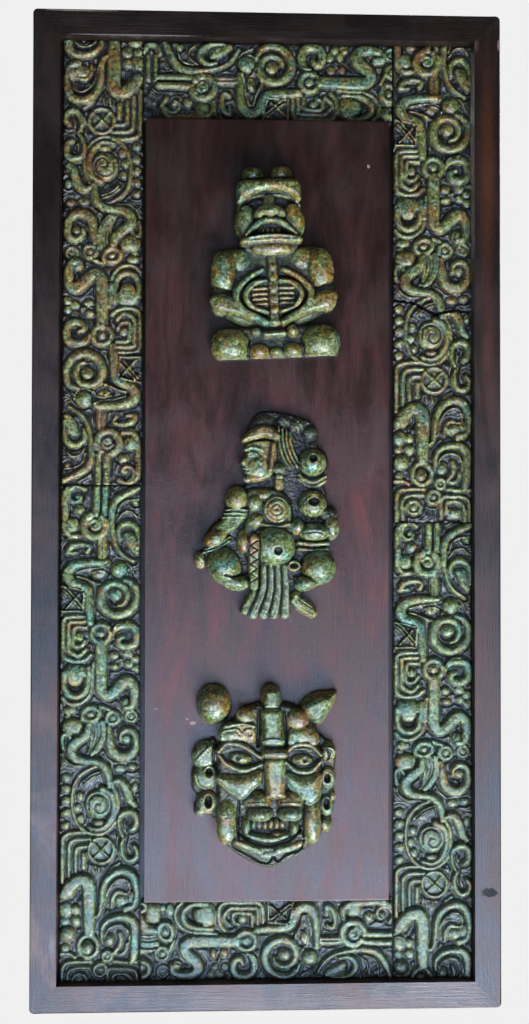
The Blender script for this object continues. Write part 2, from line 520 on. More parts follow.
def arch(m):
    """An eye beside an arch."""
    m.dome(4.8, 282.6, 4.7, 4.8, rise=HIGH - .2)
    m.dome(3.6, 291.6, 3, 2.4, rise=1.8, warm=.4)
    m.band(circle(18, 290, 6, 1.6, squash=1.12), EVEN + .3, closed=True)
    m.groove(arc(18, 290.6, 4.2, 200, 230, .6, squash=1.1), 1.4, dark=1)
    m.dome(17.4, 291.6, 3.7, 4.4, rise=EVEN + .2, warm=.25)
    m.band([(26.6, 284.6, 1.2), (26.8, 278.6, 1.6), (30.4, 274, 1.9), (36.6, 272, 2.1), (43.6, 272.8, 2.6),
            (47, 277.6, 2.8), (47.2, 286, 2.8), (46.8, 295, 2.6), (45, 300, 1.8)], HIGH, crown=.3)
    m.ridge([(28.8, 283.6, .6), (30.6, 279.4, .7), (35.6, 277.2, .7), (41, 278.4, .7), (43.6, 282.6, .7),
             (43.4, 288, .7)], 2.4, warm=.4)
    m.dome(31.4, 286.6, 3.1, 4, rise=EVEN, tilt=20)
    m.band([(37.6, 282.6, 1.4), (38.8, 286.6, 1.6), (37, 291, 1.5), (34.6, 294, 1.2)], EVEN, warm=.9)
    m.band([(42.6, 288.6, 1), (41.6, 293, 1.1), (38.6, 295.6, 1.1), (35, 295, 1)], 2.8)
    m.band(circle(30, 296.4, 2.9, 1.1), EVEN, closed=True)
    m.dome(30, 296.4, 1.6, rise=2.6)
    m.band([(34.6, 300, 1.2), (41, 300.6, 1.3), (49, 300.4, 1.2)], 2.4)
    m.band([(1, 294.8, 1), (6, 295, 1.2), (10, 297, 1)], 2.2)


def foot(m):
    """Square bands, a ring and a bead."""
    m.band([(19.6, 299.8, 1.2), (11, 299.8, 1.3), (4, 301, 1.4), (1.8, 306, 1.4), (1.8, 322, 1.4)], 3,
           warm=.3)
    m.band([(18.6, 303.8, 1), (10.6, 304, 1.1), (6, 306.4, 1.2), (5.2, 312, 1.2), (6, 319, 1.1)], 2.8)
    m.band(circle(12.8, 311.6, 4.4, 1.2, squash=.9), 2.9, closed=True)
    m.dome(12.8, 311.6, 2.4, rise=3)
    m.band(circle(25.6, 305, 3.6, 1.2, squash=1.15, tilt=30), EVEN, closed=True)
    m.dome(25.6, 305, 1.9, rise=2.6, warm=.5)
    for inset in (0, 3.2):
        m.band([(30.6 + inset, 318 - inset, 1), (30.8 + inset, 306 + inset, 1.1), (38, 304.6 + inset, 1.1),
                (45.6 - inset, 305.4 + inset, 1.2), (48.6 - inset, 309 + inset, 1.2),
                (48.8 - inset, 321, 1)], 2.7, warm=.3)
    m.dome(38.6, 315.6, 4.4, 3.2, rise=2.6, power=3)


def crown(m):
    """A curl and two bars, above the top."""
    m.band([(44, -12.6, 1.2), (48.4, -9.4, 1.5), (47.8, -5, 1.5), (43, -2.2, 1.2)], EVEN)
    for y in (-9.6, -5):
        m.band([(26, y, 1), (41, y, 1)], 2.6, shoulder=1)


MOULD_TOP = -13.0
MOULD_BOTTOM = 322.0
SWELL = 0.5            # the forms are this much fuller than their centre lines' half widths
MOAT = (0.7, 1.5)      # the dark moat round every form, and where the ground is up again
INFILL = 1.1           # how far the ground is up
TOOLING = 0.95         # how far its tooled lines stand above that
TOOLED_FROM = 1.9      # the first line's distance from a form, and the next ones' spacing
TOOLED_EVERY = 1.75
TOOLED_DEEPEST = 8     # the lines follow a form no further than this
BED_GRIT = ((0.8, 1.5, 3), (1.9, 3.1, 4))
STRIP_SKIN = ((0.5, 1.6, 5), (0.5, 4, 6))
GRIT_DEPTH = 0.3
SKIN_DEPTH = 0.16


def fill_ground(m):
    """Raises the ground between the forms in fine tooled lines, and leaves a moat round each of them."""
    proud = m.inside > 0
    lifted = np.clip((m.height - BED - 0.3) / 1.4, 0, 1)
    gap = np.where(proud, 0.0, -np.maximum(m.inside, -TOOLED_DEEPEST))
    rise = np.clip((gap - MOAT[0]) / (MOAT[1] - MOAT[0]), 0, 1)
    rise = rise * rise * (3 - 2 * rise)
    worn = np.clip(0.7 + grain(m, (0.9, 4.0, 12)), 0, 1.3) * rise
    tooled = np.maximum(np.cos(2 * np.pi * (gap - TOOLED_FROM) / TOOLED_EVERY), 0) * worn
    m.height += np.where(proud, 0, INFILL * rise + TOOLING * tooled)
    m.dark = np.where(proud, m.dark, 0.95 - 0.7 * lifted - 0.6 * tooled * (1 - lifted))
    m.warm = np.where(proud, m.warm, 0.6)


def make_mould():
    """The whole mould, with a gritty bed and a slightly uneven skin on its forms."""
    m = Relief(0, STRIP_WIDTH, MOULD_TOP, MOULD_BOTTOM, STRIP_PITCH, BED, swell=SWELL)
    for part in (crest, serpent, nested, hook, twist, oval, wheel, bent, arch, foot, crown):
        part(m)
    fill_ground(m)
    bed = np.where(m.inside > 0, np.clip(BED + 1.4 - m.height, 0, 1), 1)
    m.height += bed * GRIT_DEPTH * grain(m, *BED_GRIT) + (1 - bed) * SKIN_DEPTH * grain(m, *STRIP_SKIN)
    return m


# ---------- the figures: heights above the panel ----------

def seated_masses(f):
    """The feet, the trunk, the head and the cap over it."""
    f.pad([(-28, -64), (-37, -60), (-39.6, -52), (-35, -43), (-24, -40), (24, -40), (35, -42.6),
           (40.6, -51), (39, -60), (30, -64)], 5, dark=.6)
    f.pad([(-16, 10), (-28, 9.6), (-35.4, 4.4), (-38.4, -5), (-38.8, -20), (-37.4, -29), (-31, -34),
           (-18, -39.6), (18, -39.6), (31, -34), (37.4, -29), (38.8, -20), (38.4, -5), (35.4, 4.4),
           (28, 9.6), (16, 10)], 8.5, shoulder=4.5, dark=.55)
    f.pad([(-15.6, 5), (0, 3.6), (15.6, 5), (19.4, 12), (21, 24), (20, 38), (19.4, 47), (13, 51), (0, 52),
           (-13, 51), (-19.4, 47), (-20, 38), (-21, 24), (-19.4, 12)], 9.5, shoulder=4, dark=.2)
    f.pad([(-15, 49), (-15.6, 53), (15.6, 53), (15, 49)], 8, shoulder=2, dark=.3)


def seated_face(f):
    """Knobs on the cap, ears, sunken eyes under a heavy brow, a broad nose and a bared row of teeth."""
    for s in (-1, 1):
        f.dome(9 * s, 55.6, 6.8, 5.6, rise=9.4, base=1, power=2.3, dark=.2)
        f.dome(19.6 * s, 24.6, 2.6, 7.4, rise=5, base=4, dark=.2)
        f.pit(10.4 * s, 35.6, 9.4, 4.6, 5.4, tilt=-14 * s, dark=1)
        f.dome(14.6 * s, 25.6, 6.2, 10.4, rise=4.6, base=8, warm=.2)
    f.pad([(-17.6, 51), (-10, 51.6), (0, 51.6), (10, 51.6), (17.6, 51), (20, 47.6), (20.2, 43),
           (19.4, 37.6), (10, 41.6), (0, 43.2), (-10, 41.4), (-19, 37), (-20.2, 43), (-20, 47.6)], 7.4,
          base=8, shoulder=4, warm=.15)
    f.ridge([(-19, 35.4, .8), (-9.8, 40.2, .9), (0, 42.2, .9), (9.8, 40.2, .9), (19, 35.4, .8)], .9,
            warm=.5)
    f.dome(0, 36.4, 4, 6.4, rise=7.4, base=7.6)
    f.dome(0, 30.8, 8.6, 4.6, rise=10.6, base=8, power=2.4, warm=.3)
    for s in (-1, 1):
        f.dome(6.6 * s, 29.4, 3.8, 3.4, rise=9.4, base=8, warm=.4)
        f.pit(3.6 * s, 27, 1.7, 1.2, 2.6)
    f.band([(-15.4, 16.6, 1.9), (-10.6, 21, 2.4), (-5, 24.6, 2.4), (0, 25.4, 2.2), (5, 24.6, 2.4),
            (10.6, 21, 2.4), (15.4, 16.6, 1.9)], 7, base=8, shoulder=1.8)
    f.sink([(-12, 16.6), (-6, 20.6), (0, 22), (6, 20.6), (12, 16.6), (0, 16)], 8, dark=1)
    for x in (-4.8, -1.6, 1.6, 4.8):
        f.dome(x, 19.4, 1.5, 2.2, rise=3.4, base=8)
    f.band([(-17, 12.6, 2.8), (-9, 13.4, 3.3), (0, 13.8, 3.5), (9, 13.4, 3.3), (17, 12.6, 2.8)], 7.8,
           base=8, shoulder=2.2, warm=.45)
    f.ridge([(-13, 14.6, .8), (0, 15.8, .9), (13, 14.6, .8)], .8, warm=0)
    f.dome(.6, 8.6, 15, 6, rise=7.2, base=6.6, power=2.4, warm=.6)


def seated_arms(f):
    """Shoulders, and arms folded round a barred oval with a spine down its middle."""
    for s in (-1, 1):
        f.dome(30.6 * s, -5.4, 8, 13, rise=6, base=7.4, tilt=5 * s, power=2.4, warm=.25)
        f.dome(19.6 * s, 1.6, 6.4, 6.8, rise=3, base=7.4, dark=.35)
        f.band([(36 * s, -23.6, 4.4), (30 * s, -26, 6), (22 * s, -29.4, 4.6), (13 * s, -34.6, 3)], 6.2,
               base=7, warm=.35, shoulder=3.4)
        f.dome(33 * s, -25.8, 6.6, 7, rise=7, base=7, warm=.5)
        f.groove([(39 * s, -13.6, .9), (31 * s, -17.4, 1.2), (24.4 * s, -18, .9)], 2.6)
        f.band([(6.4 * s, -5.4, 1.8), (14.4 * s, -9.6, 2.3), (21.6 * s, -16.4, 2.6), (23.4 * s, -22.4, 2.7),
                (19.4 * s, -29.6, 2.7), (12 * s, -34.6, 2.7), (5.4 * s, -38.4, 2.5)], 6.4, base=7.4,
               shoulder=2)
        f.groove([(5 * s, -9.4, .8), (13 * s, -11.4, .9), (19 * s, -17, 1), (20.6 * s, -22.4, 1),
                  (16.6 * s, -29, 1), (5.4 * s, -34.6, .9)], 2.4, dark=1)
        f.band([(4.6 * s, -12.4, 1.6), (11.4 * s, -13.6, 2), (16.4 * s, -18, 2.1), (17.2 * s, -23, 2.1),
                (13.6 * s, -28.6, 2), (5 * s, -31.8, 1.8)], 5.8, base=7.4, shoulder=1.7)
        f.ridge([(12 * s, -15, .5), (16 * s, -19, .6), (16.6 * s, -23, .6), (13 * s, -28, .5)], .8,
                warm=-.4)
        for y in (-16.8, -20, -23.2, -26.4):
            f.band([(4.6 * s, y, 1.3), (12.6 * s, y - .4, 1.3)], 3.6, base=7.2, shoulder=1, warm=.55)
    f.band([(0, 2, 3.3), (0, -18, 3.4), (0, -35, 3.2)], 3.8, base=7.4, shoulder=1.6, warm=.35, dark=.55)
    for y, rise in ((-3.6, 1.6), (-10, 1.2), (-17, 1.4), (-24, 1.1), (-30.6, 1.4)):
        f.dome(.4, y, 2.6, 2.4, rise=rise, base=10.6, warm=.4)
    f.dome(0, -38, 5.6, 3.4, rise=5.6, base=6, dark=.25)


def seated_feet(f):
    """The belt, the knees and the feet."""
    f.band([(-6.6, -45.6, 2.3), (5.4, -45.4, 2.3)], 6.6, base=4.6)
    f.dome(11, -44, 4, 4.6, rise=7.4, base=4.6, warm=.5)
    f.dome(-11.6, -43.4, 4, 3, rise=4, base=4.6, dark=.5)
    for s in (-1, 1):
        f.dome(28.6 * s, -51.4, 12.2, 10.8, rise=10, base=4, power=2.3, warm=.25)
        f.dome(10.4 * s, -56, 6.4, 5, rise=7.4, base=4, power=2.3, warm=.2)
        f.groove([(16 * s, -48, .8), (17.6 * s, -54, .9), (17 * s, -60, .8)], 2)
    f.dome(0, -56.6, 4.6, 3.4, rise=5.4, base=4)


def seated_finish(f):
    """Where the stone is warmer or paler, and the level cut at the foot."""
    f.tint((0, -21, 17, 10, .7), (-26, 2, 6, 7, .8), (-31, -27, 9, 5, .8), (31, -24, 8, 6, .9),
           (2, 8, 17, 5, .8), (-12, 41, 8, 4, .8), (9, -44, 7, 5, .8), (-22, -47, 9, 5, .6),
           (-8, -37, 8, 4, -.35), (22, 12, 4, 3, -.4))
    f.cut_below(-60.5)


# The outline of the face in profile, with the nose to the left.
PROFILE = [(5, 48), (-12.6, 48), (-14.6, 43.4), (-14.4, 40), (-16.4, 37), (-18.4, 34.2), (-16.2, 32.6),
           (-16.8, 30.8), (-15.8, 29.8), (-16.2, 28.2), (-14.8, 26.6), (-15.2, 24), (-12.4, 21.8),
           (-5, 22.4), (2, 25.6), (5, 31)]


def kneeling_masses(f):
    """The whole outline, and the headdress behind the cap."""
    f.pad([(-9, 64), (-3, 67), (6, 67), (16, 65), (27, 61), (32, 54), (31, 46), (36.6, 41), (38.4, 33),
           (34.6, 25), (37, 16), (38.6, 6), (44, 1), (45.6, -6), (44, -12), (38.6, -17), (37, -22),
           (40.6, -29), (39.6, -36), (33, -40.6), (26, -44), (21.6, -50), (30.6, -58), (30, -62.6),
           (23, -61), (13.6, -53.4), (14, -60.6), (2, -61.8), (-9, -61.4), (-16.4, -58.6), (-13, -53),
           (-9, -46), (-16, -43.4), (-23, -42.4), (-31, -37.6), (-36, -31), (-40, -30), (-46, -27),
           (-44, -21), (-39.6, -19), (-41, -14), (-36.6, -6), (-28.6, 2), (-27.4, 11), (-22, 18.6),
           (-15, 20.4), (-13, 30), (-12, 44), (-16.6, 48), (-13, 56)], 3.8, shoulder=1.6, dark=.9)
    f.dome(-2, 60.4, 7.4, 4.6, rise=5.4, base=2, dark=.5, warm=.4)
    f.dome(9.4, 60.8, 5, 4, rise=4.4, base=2, dark=.68)
    f.dome(18.6, 59, 5.4, 4.6, rise=4.4, base=2, dark=.66)
    f.dome(26.6, 53.6, 5, 5.4, rise=4.4, base=2, dark=.68)
    f.dome(28.6, 46, 3.4, 3.6, rise=3.4, base=2, dark=.7)
    for i in range(3):
        f.groove([(9 + 5 * i, 62 - i, .5), (13 + 4.6 * i, 57 - 2 * i, .6), (18 + 3 * i, 50 - 2 * i, .5)],
                 .8, dark=.7)


def kneeling_head(f):
    """The head in profile: brow, eye, nose, lips, chin and cap."""
    f.pad(PROFILE, 9.6, shoulder=2.4, dark=.12, warm=.2)
    f.dome(-6, 32.6, 6, 6.4, rise=2.4, base=9, warm=.3)
    f.band([(-14.4, 42.6, 1.1), (-10, 44, 1.2), (-4, 42.6, .9)], 2, base=9.2)
    f.dome(-9.6, 39.8, 3.2, 1.5, rise=1.6, base=9)
    f.ridge([(-13.2, 39.6, .4), (-9.8, 41.2, .45), (-6, 39.6, .4)], .7)
    f.ridge([(-12.8, 39.2, .35), (-9.6, 38.2, .4), (-6.4, 39.2, .35)], .6)
    f.dome(-15.4, 35, 1.8, 2.6, rise=2.2, base=9, tilt=-20)
    f.groove([(-16.6, 29.8, .35), (-12.6, 29.6, .35)], .8)
    f.dome(-13, 24.4, 2.6, 2.2, rise=1.6, base=9)
    f.band([(-15, 48.8, 2.3), (-9.6, 52, 3.8), (-2, 54.4, 4.6), (4.4, 51.4, 3.6)], 8.6, base=5, shoulder=3,
           warm=.85)
    for y, rise in ((49.2, 1), (47.4, .8)):
        f.ridge([(-10, y, .55), (-2, y + .8, .6), (5, y + .2, .55)], rise, warm=.4)


def kneeling_ear(f):
    """The ear and its spool, with plumes and a pierced ball behind it."""
    f.band([(3.4, 46.4, 1.7), (2.4, 38, 1.8), (1.4, 30, 1.7)], 5, base=7.6, shoulder=1.2, warm=.85)
    f.dome(6.6, 30.6, 3.8, 3.8, rise=5.6, base=6)
    f.groove(circle(6.6, 30.6, 2.1, .4), .7, closed=True)
    f.band([(6.9, 25.4, 3), (6.9, 20.4, 3.2)], 6.6, base=5, shoulder=1.6, warm=.35)
    f.groove([(3.6, 24.4, .45), (10.2, 24.4, .45)], .8)
    for i in range(4):
        f.band([(6.4 + 2.5 * i, 57 - i, .9), (7 + 2.4 * i, 47, 1.15), (9.4 + 2.7 * i, 38.4, 1.1),
                (13.4 + 2.6 * i, 32, .8)], 5.2 - .7 * i, base=4.6, shoulder=1, dark=.12 * i)
    f.dome(28, 35, 8.8, 8.8, rise=10.4, base=4.4, warm=.25)
    f.pit(28, 37.4, 2.5, 2.5, 5, dark=1)
    f.groove([(20.6, 37.6, .4), (24, 40.6, .45), (28, 41.6, .45)], .7)
    for drop, rise in ((0, 3.4), (2.8, 2.2)):
        f.band([(19.4, 27.4 - drop, 1.1), (23.6, 24 - drop, 1.3), (29, 22.6 - drop, 1.4),
                (36, 26 - drop, 1.1)], rise, base=4.6, shoulder=1, warm=.5)


def kneeling_trunk(f):
    """The chest with its beads and disc, and the round belly."""
    f.pad([(-14, 17), (-4, 19.6), (8, 18), (14, 12), (16, 2), (16, -10), (18, -22), (10, -31), (-8, -31),
           (-14, -26), (-17, -12), (-14, 2)], 8.6, shoulder=3, dark=.58)
    f.dome(-8, 9.6, 4.6, 5, rise=3.6, base=8, warm=.15)
    f.dome(-7.4, -1.4, 4.8, 4.6, rise=3.6, base=8, warm=.4)
    f.dome(-2.4, 14.6, 5, 3.4, rise=3, base=7.6, dark=.2)
    f.band([(-4, -3.6, 1.6), (0, -5, 1.7), (6, -5.8, 1.6), (13, -3.6, 1.3)], 3.4, base=8, warm=.5)
    f.dome(5.4, 5.4, 9, 8.9, rise=4.8, base=8, flat=3.4, warm=.2)
    f.groove(circle(5.4, 5.4, 6.6, .55), .9, closed=True)
    f.groove(circle(5.4, 5.4, 3.4, .5), .8, closed=True)
    f.pit(5.4, 5.4, 1.2, 1.2, .8)
    f.dome(4.4, -17.4, 12.6, 12.8, rise=9.6, base=7.6, flat=2, warm=-.05)
    f.groove([(-8.6, -8.4, .8), (-2, -5.8, .8), (8, -6.4, .8), (15, -10, .8)], 1.4)
    f.pit(6, -20.2, 2.7, 2.7, 4, dark=.9)


def kneeling_pack(f):
    """The balls and straps on the back."""
    f.dome(28, 8.8, 9.2, 8.8, rise=9.6, base=4.4, flat=2.6, warm=.2)
    f.pit(28.6, 10.4, 3.6, 2.8, 5, dark=1)
    f.ridge([(20.6, 11.6, .8), (25, 15, .9), (31.6, 15, .8)], .8)
    for x in (24.4, 28, 31.6):
        f.groove([(x, 2.6, .5), (x, -.4, .5)], 1.2)
    f.dome(38, 2.4, 6.2, 4.8, rise=4.6, base=4, dark=.7)
    f.dome(18.4, -5.4, 5.6, 5.4, rise=6.6, base=4.4)
    f.dome(29, -8.8, 10.2, 5.8, rise=9.6, base=4.4, power=2.3, warm=-.05)
    f.dome(40, -5.8, 5.2, 8, rise=8, base=4.2, warm=.5)
    f.groove([(23, -9.4, .5), (29, -8.4, .5), (34, -9.4, .5)], .8)
    f.band([(19, -15.4, 1.5), (28, -16.4, 1.7), (38, -15.8, 1.4)], 4.4, base=4.4, shoulder=1.2)
    f.band([(19.6, -19.4, 1.2), (28, -20, 1.3), (37.4, -19.4, 1.1)], 3, base=4.4, shoulder=1)


def kneeling_arm(f):
    """The bent arm with its bands, and the hand."""
    f.dome(-19.6, 11.8, 7.6, 8.2, rise=8, base=4.4, tilt=-15, warm=.55)
    f.band([(-18.6, 3, 6), (-24, -3.6, 5.4), (-31, -9, 5)], 5, base=4, shoulder=3, dark=.35)
    for i in range(3):
        f.band([(-26.4 - i, 4.8 - 2.3 * i, .8), (-20 - i, 5.8 - 2.5 * i, .9),
                (-13.4 - .6 * i, 5 - 2.3 * i, .8)], 5.6 - .4 * i, base=4.4, shoulder=.9)
    f.dome(-32.6, -12.6, 9, 5.8, rise=8, base=4, tilt=36, warm=.6)
    for i in range(2):
        f.band([(-39.4 - i, -19.6 - 2 * i, .8), (-31 - i, -16.8 - 2.2 * i, 1), (-24, -11.8 - 2.4 * i, .8)],
               5.4, base=4, shoulder=.9)
    f.dome(-42.6, -26.4, 3.9, 5.6, rise=5.4, base=2, tilt=10, warm=.2)
    f.groove([(-44.6, -24, .4), (-41, -28, .4)], .8)


def kneeling_knee(f):
    """The knee in front, and the zigzag band beside it."""
    f.dome(-27.4, -30, 10.4, 12.6, rise=11.2, base=4, tilt=24)
    f.dome(-20.4, -40.2, 9.4, 5.4, rise=9, base=4, tilt=-8, warm=-.12)
    f.groove([(-27, -35.6, .7), (-20.6, -36.4, .9), (-13.4, -34.4, .8)], 2)
    f.dome(-15.2, -14.6, 4.4, 8, rise=6.6, base=4.6, warm=.55)
    f.band([(-8.8, -12.6, 3.4), (-9, -28, 3.5), (-8.6, -42.6, 3)], 7, base=5, shoulder=1.4, warm=.15)
    f.ridge([(-8.8, -13, 3), (-8.8, -21, 3)], .4, warm=1)
    zigzag = [(-11.2 if k % 2 else -6.6, -14 - 2.9 * k, .5) for k in range(10)]
    for a, b in zip(zigzag, zigzag[1:]):
        f.groove([a, b], 1.3, dark=.9)
    f.groove([(-5.2, -12, .6), (-5.4, -30, .7), (-5.2, -44, .7)], 2.6, dark=1)


def kneeling_apron(f):
    """The apron in four pleats."""
    for i in range(4):
        f.band([(-2.6 + 4.3 * i, -30, 2.3), (-3.4 + 4.8 * i, -45, 2.6), (-9.4 + 6.6 * i, -60, 3.3)], 6.6,
               base=4, shoulder=2.2, warm=-.4)
        f.ridge([(-1.4 + 4.3 * i, -33, .4), (-2.2 + 4.8 * i, -45, .5), (-7.4 + 6.6 * i, -58, .5)], .7,
                warm=-1)
    f.band([(-8, -46, 2.4), (-12, -54, 3.8), (-14.6, -58, 3)], 5, base=3, dark=.4, warm=.3)


def kneeling_foot(f):
    """The leg behind, and its foot."""
    f.band(circle(16.4, -29.8, 3.3, 1.3, squash=2.6 / 3.3), 5, closed=True, base=4.4)
    f.dome(31.8, -31, 11.2, 11, rise=11.4, base=4, tilt=25, warm=-.03)
    f.dome(24.6, -40.4, 8.6, 5.2, rise=8.6, base=4, tilt=20, warm=-.15)
    f.groove([(16.6, -36.4, .8), (23, -36, .9), (31, -40.4, .8)], 1.8)
    f.dome(17.4, -48.6, 3.6, 3.2, rise=5.6, base=3.4)
    f.band([(17, -51.4, 3.2), (22.4, -55.4, 4.6), (28, -59.4, 3.6)], 5.8, base=3, warm=.5)
    f.groove([(19, -50.6, .5), (24, -54, .5), (29.6, -57.6, .4)], .9)


def kneeling_finish(f):
    """Where the stone is paler."""
    f.tint((0, -20, 8, 7, -.5), (-24, -39, 8, 5, -.4), (33, -34, 7, 6, -.45), (28, -11, 8, 3, -.5),
           (27, 31, 5, 4, -.35))


def mask_masses(f):
    """The face, the pieces at its sides, the ball and the horn."""
    f.pad([(-32, 22), (-41, 19), (-44.4, 12), (-47.6, 3), (-47.4, -7), (-44, -12), (-46.2, -18),
           (-43.6, -25), (-37, -24), (-30, -23)], 4.4, shoulder=2, dark=.7)
    f.pad([(31, 22), (38, 22.4), (43, 15), (42.6, 4), (42, -8), (42.4, -16), (39.4, -22), (40.6, -30),
           (36, -34.4), (30, -34)], 4.4, shoulder=2, dark=.7)
    f.dome(-33.6, 45.2, 11, 12.6, rise=12.8, base=1, tilt=8, power=2.2, warm=.25)
    f.pad([(20, 44), (24, 49.6), (31, 53), (38, 53.6), (43.8, 53.4), (42, 46), (38, 38.6), (32.8, 32.6),
           (27, 33.6), (22, 37.6)], 12.6, shoulder=7, warm=.1)
    f.pad([(-23, 35), (-16, 42.6), (-6, 46.6), (6, 47), (16, 45.4), (25, 39), (31, 30), (33.8, 14),
           (34.2, -6), (33.4, -24), (31, -35), (25.6, -44.6), (13, -52.6), (1, -56.6), (-13, -51.6),
           (-24.6, -43.4), (-31.4, -32), (-32.4, -12), (-32.4, 8), (-30, 24)], 9.6, shoulder=4, dark=.66)


def mask_forehead(f):
    """Bosses and scrolls over the eyes."""
    f.dome(-14, 38.6, 6, 5.4, rise=4, base=8.6, warm=.7)
    f.dome(18.4, 36.4, 7.6, 6.6, rise=5, base=8.6, warm=1)
    f.pad([(-29.6, 23), (-30, 30), (-24, 34.6), (-9, 34), (-7, 28), (-9, 21.6), (-18, 23)], 3, base=9.4,
          shoulder=2.4, dark=.1)
    f.ridge([(-27, 32.6, .6), (-16, 34.4, .7), (-8, 32.6, .6)], 1)
    f.ridge([(-28, 29.6, .6), (-20, 31, .7), (-16.4, 28, .6)], 1)
    f.dome(-22, 27.6, 6, 4, rise=2.4, base=11.4, tilt=12)
    f.band(arc(-11.6, 27.6, 3.8, 200, -300, 1.5, end_radius=1.6), 2.6, base=10.4, warm=.4)
    f.pad([(12.4, 20.4), (13, 30), (20, 33.4), (29.6, 30), (32.4, 22), (24, 21)], 3, base=9.4, shoulder=2.4,
          dark=.1)
    f.dome(20.4, 26.6, 6.6, 4.6, rise=2.4, base=11.4, tilt=-8)
    f.dome(28, 24.6, 4.2, 5, rise=2.6, base=11, warm=.9)
    f.dome(14.6, 24, 3, 4, rise=2.2, base=11, warm=.4)


def mask_eyes(f):
    """Eyes between heavy lids."""
    for s, cx in ((-1, -16.6), (1, 21)):
        f.sink([(cx - 13.6, 12 - 1.5 * s), (cx - 6, 17), (cx + 5, 16.6), (cx + 12.6, 12 + 1.5 * s),
                (cx + 5, 7.4), (cx - 6, 7.6)], 7.6, dark=.85)
    f.band([(-30.6, 17, 1.7), (-25, 22, 2.1), (-15, 20, 2.1), (-4.6, 13, 1.6)], 4.6, base=8.8, shoulder=1.6,
           warm=.55)
    f.groove([(-29.4, 16.4, .5), (-24.6, 20.4, .6), (-15, 18.2, .6), (-5.4, 12, .5)], 1.2, dark=.9)
    f.band([(-30.4, 14.6, 1.3), (-25, 8.6, 1.8), (-15, 5.2, 1.9), (-4, 8.8, 1.5)], 4, base=8.8,
           shoulder=1.5)
    f.groove([(-28.6, 14.6, .4), (-24.4, 10.4, .5), (-15, 7, .5), (-5, 9.6, .4)], .9, dark=.9)
    f.dome(-17, 12.6, 7.4, 3.7, rise=5.2, base=7.4, tilt=-12, warm=.4)
    f.pit(-19, 13, 1.7, 1.7, 2)
    f.band([(11.4, 16, 1.6), (17, 20.6, 2), (26, 20.8, 2), (33, 14.6, 1.6)], 4.6, base=8.8, shoulder=1.6,
           warm=.4)
    f.groove([(11.8, 14.6, .5), (17, 18.6, .6), (26, 18.8, .6), (32, 13.6, .5)], 1.2, dark=.9)
    f.band([(11.4, 10, 1.4), (18, 4.6, 1.8), (27, 4.6, 1.8), (32.8, 10.4, 1.4)], 4, base=8.8, shoulder=1.5)
    f.groove([(12.6, 10.6, .4), (18.6, 6.4, .5), (26.4, 6.4, .5), (31.6, 10.6, .4)], .9, dark=.9)
    f.dome(21.4, 11, 6.8, 3.8, rise=5.2, base=7.4, warm=.4)
    f.pit(23, 11.2, 1.7, 1.7, 2)


def mask_cheeks(f):
    """The cheeks, with a rim below."""
    f.pad([(-31.6, 3), (-18, 2.6), (-4, 5.4), (-3.6, -3), (-8, -7), (-15.6, -13.4), (-23.6, -10),
           (-31.6, -3)], 5.4, base=9, shoulder=7.5)
    f.ridge([(-30.4, -2.4, .7), (-22, -9, .8), (-15.6, -12, .8), (-8.6, -5.6, .8), (-4.4, -2.6, .7)], 1)
    f.pad([(10.6, 4.6), (22, 2), (33, 3), (33.6, -4), (32.6, -13), (25.6, -17.4), (17, -10.6), (11, -3)],
          5.4, base=9, shoulder=7.5)
    f.ridge([(11.6, -4, .7), (17.8, -11, .8), (25.4, -16, .8), (32, -12, .7)], 1)


def mask_nose(f):
    """The crest, and the long nose down the middle."""
    f.band([(2, 51.4, 6.6), (2.2, 48.6, 7)], 14, base=1, shoulder=5, warm=.2)
    f.band([(-1.6, 44.8, 1.2), (6, 44.8, 1.2)], 12.2, base=2, shoulder=1.6, warm=-.6)
    f.pad([(-3.6, 43), (7.8, 43), (8.8, 32), (10, 20.4), (-4.2, 20.4), (-3.8, 32)], 6.4, base=9,
          shoulder=4.4, warm=-.05)
    f.ridge([(-3.4, 23.4, .9), (3, 24.6, 1.1), (9.8, 23.4, .9)], .9, warm=-.5)
    f.groove([(-5.8, 43, 1), (-5.8, 32, 1.2), (-6.2, 20, 1)], 3.4, dark=1)
    f.groove([(10, 42, .9), (11, 32, 1.1), (11.8, 20, 1)], 3.4, dark=1)
    f.ridge([(-4, 19, .8), (10.8, 19, .8)], .8)
    f.band([(-1.4, 15.4, 3.2), (4.4, 15.6, 3.5), (10, 15.4, 3.2)], 8.6, base=8.4, shoulder=2.8, warm=.5)
    f.pad([(-2, 12.6), (10.4, 12.6), (11, -6), (10.4, -12.4), (-1.4, -12.4), (-1.8, -6)], 7.2, base=9.2,
          shoulder=4.6, warm=.1)


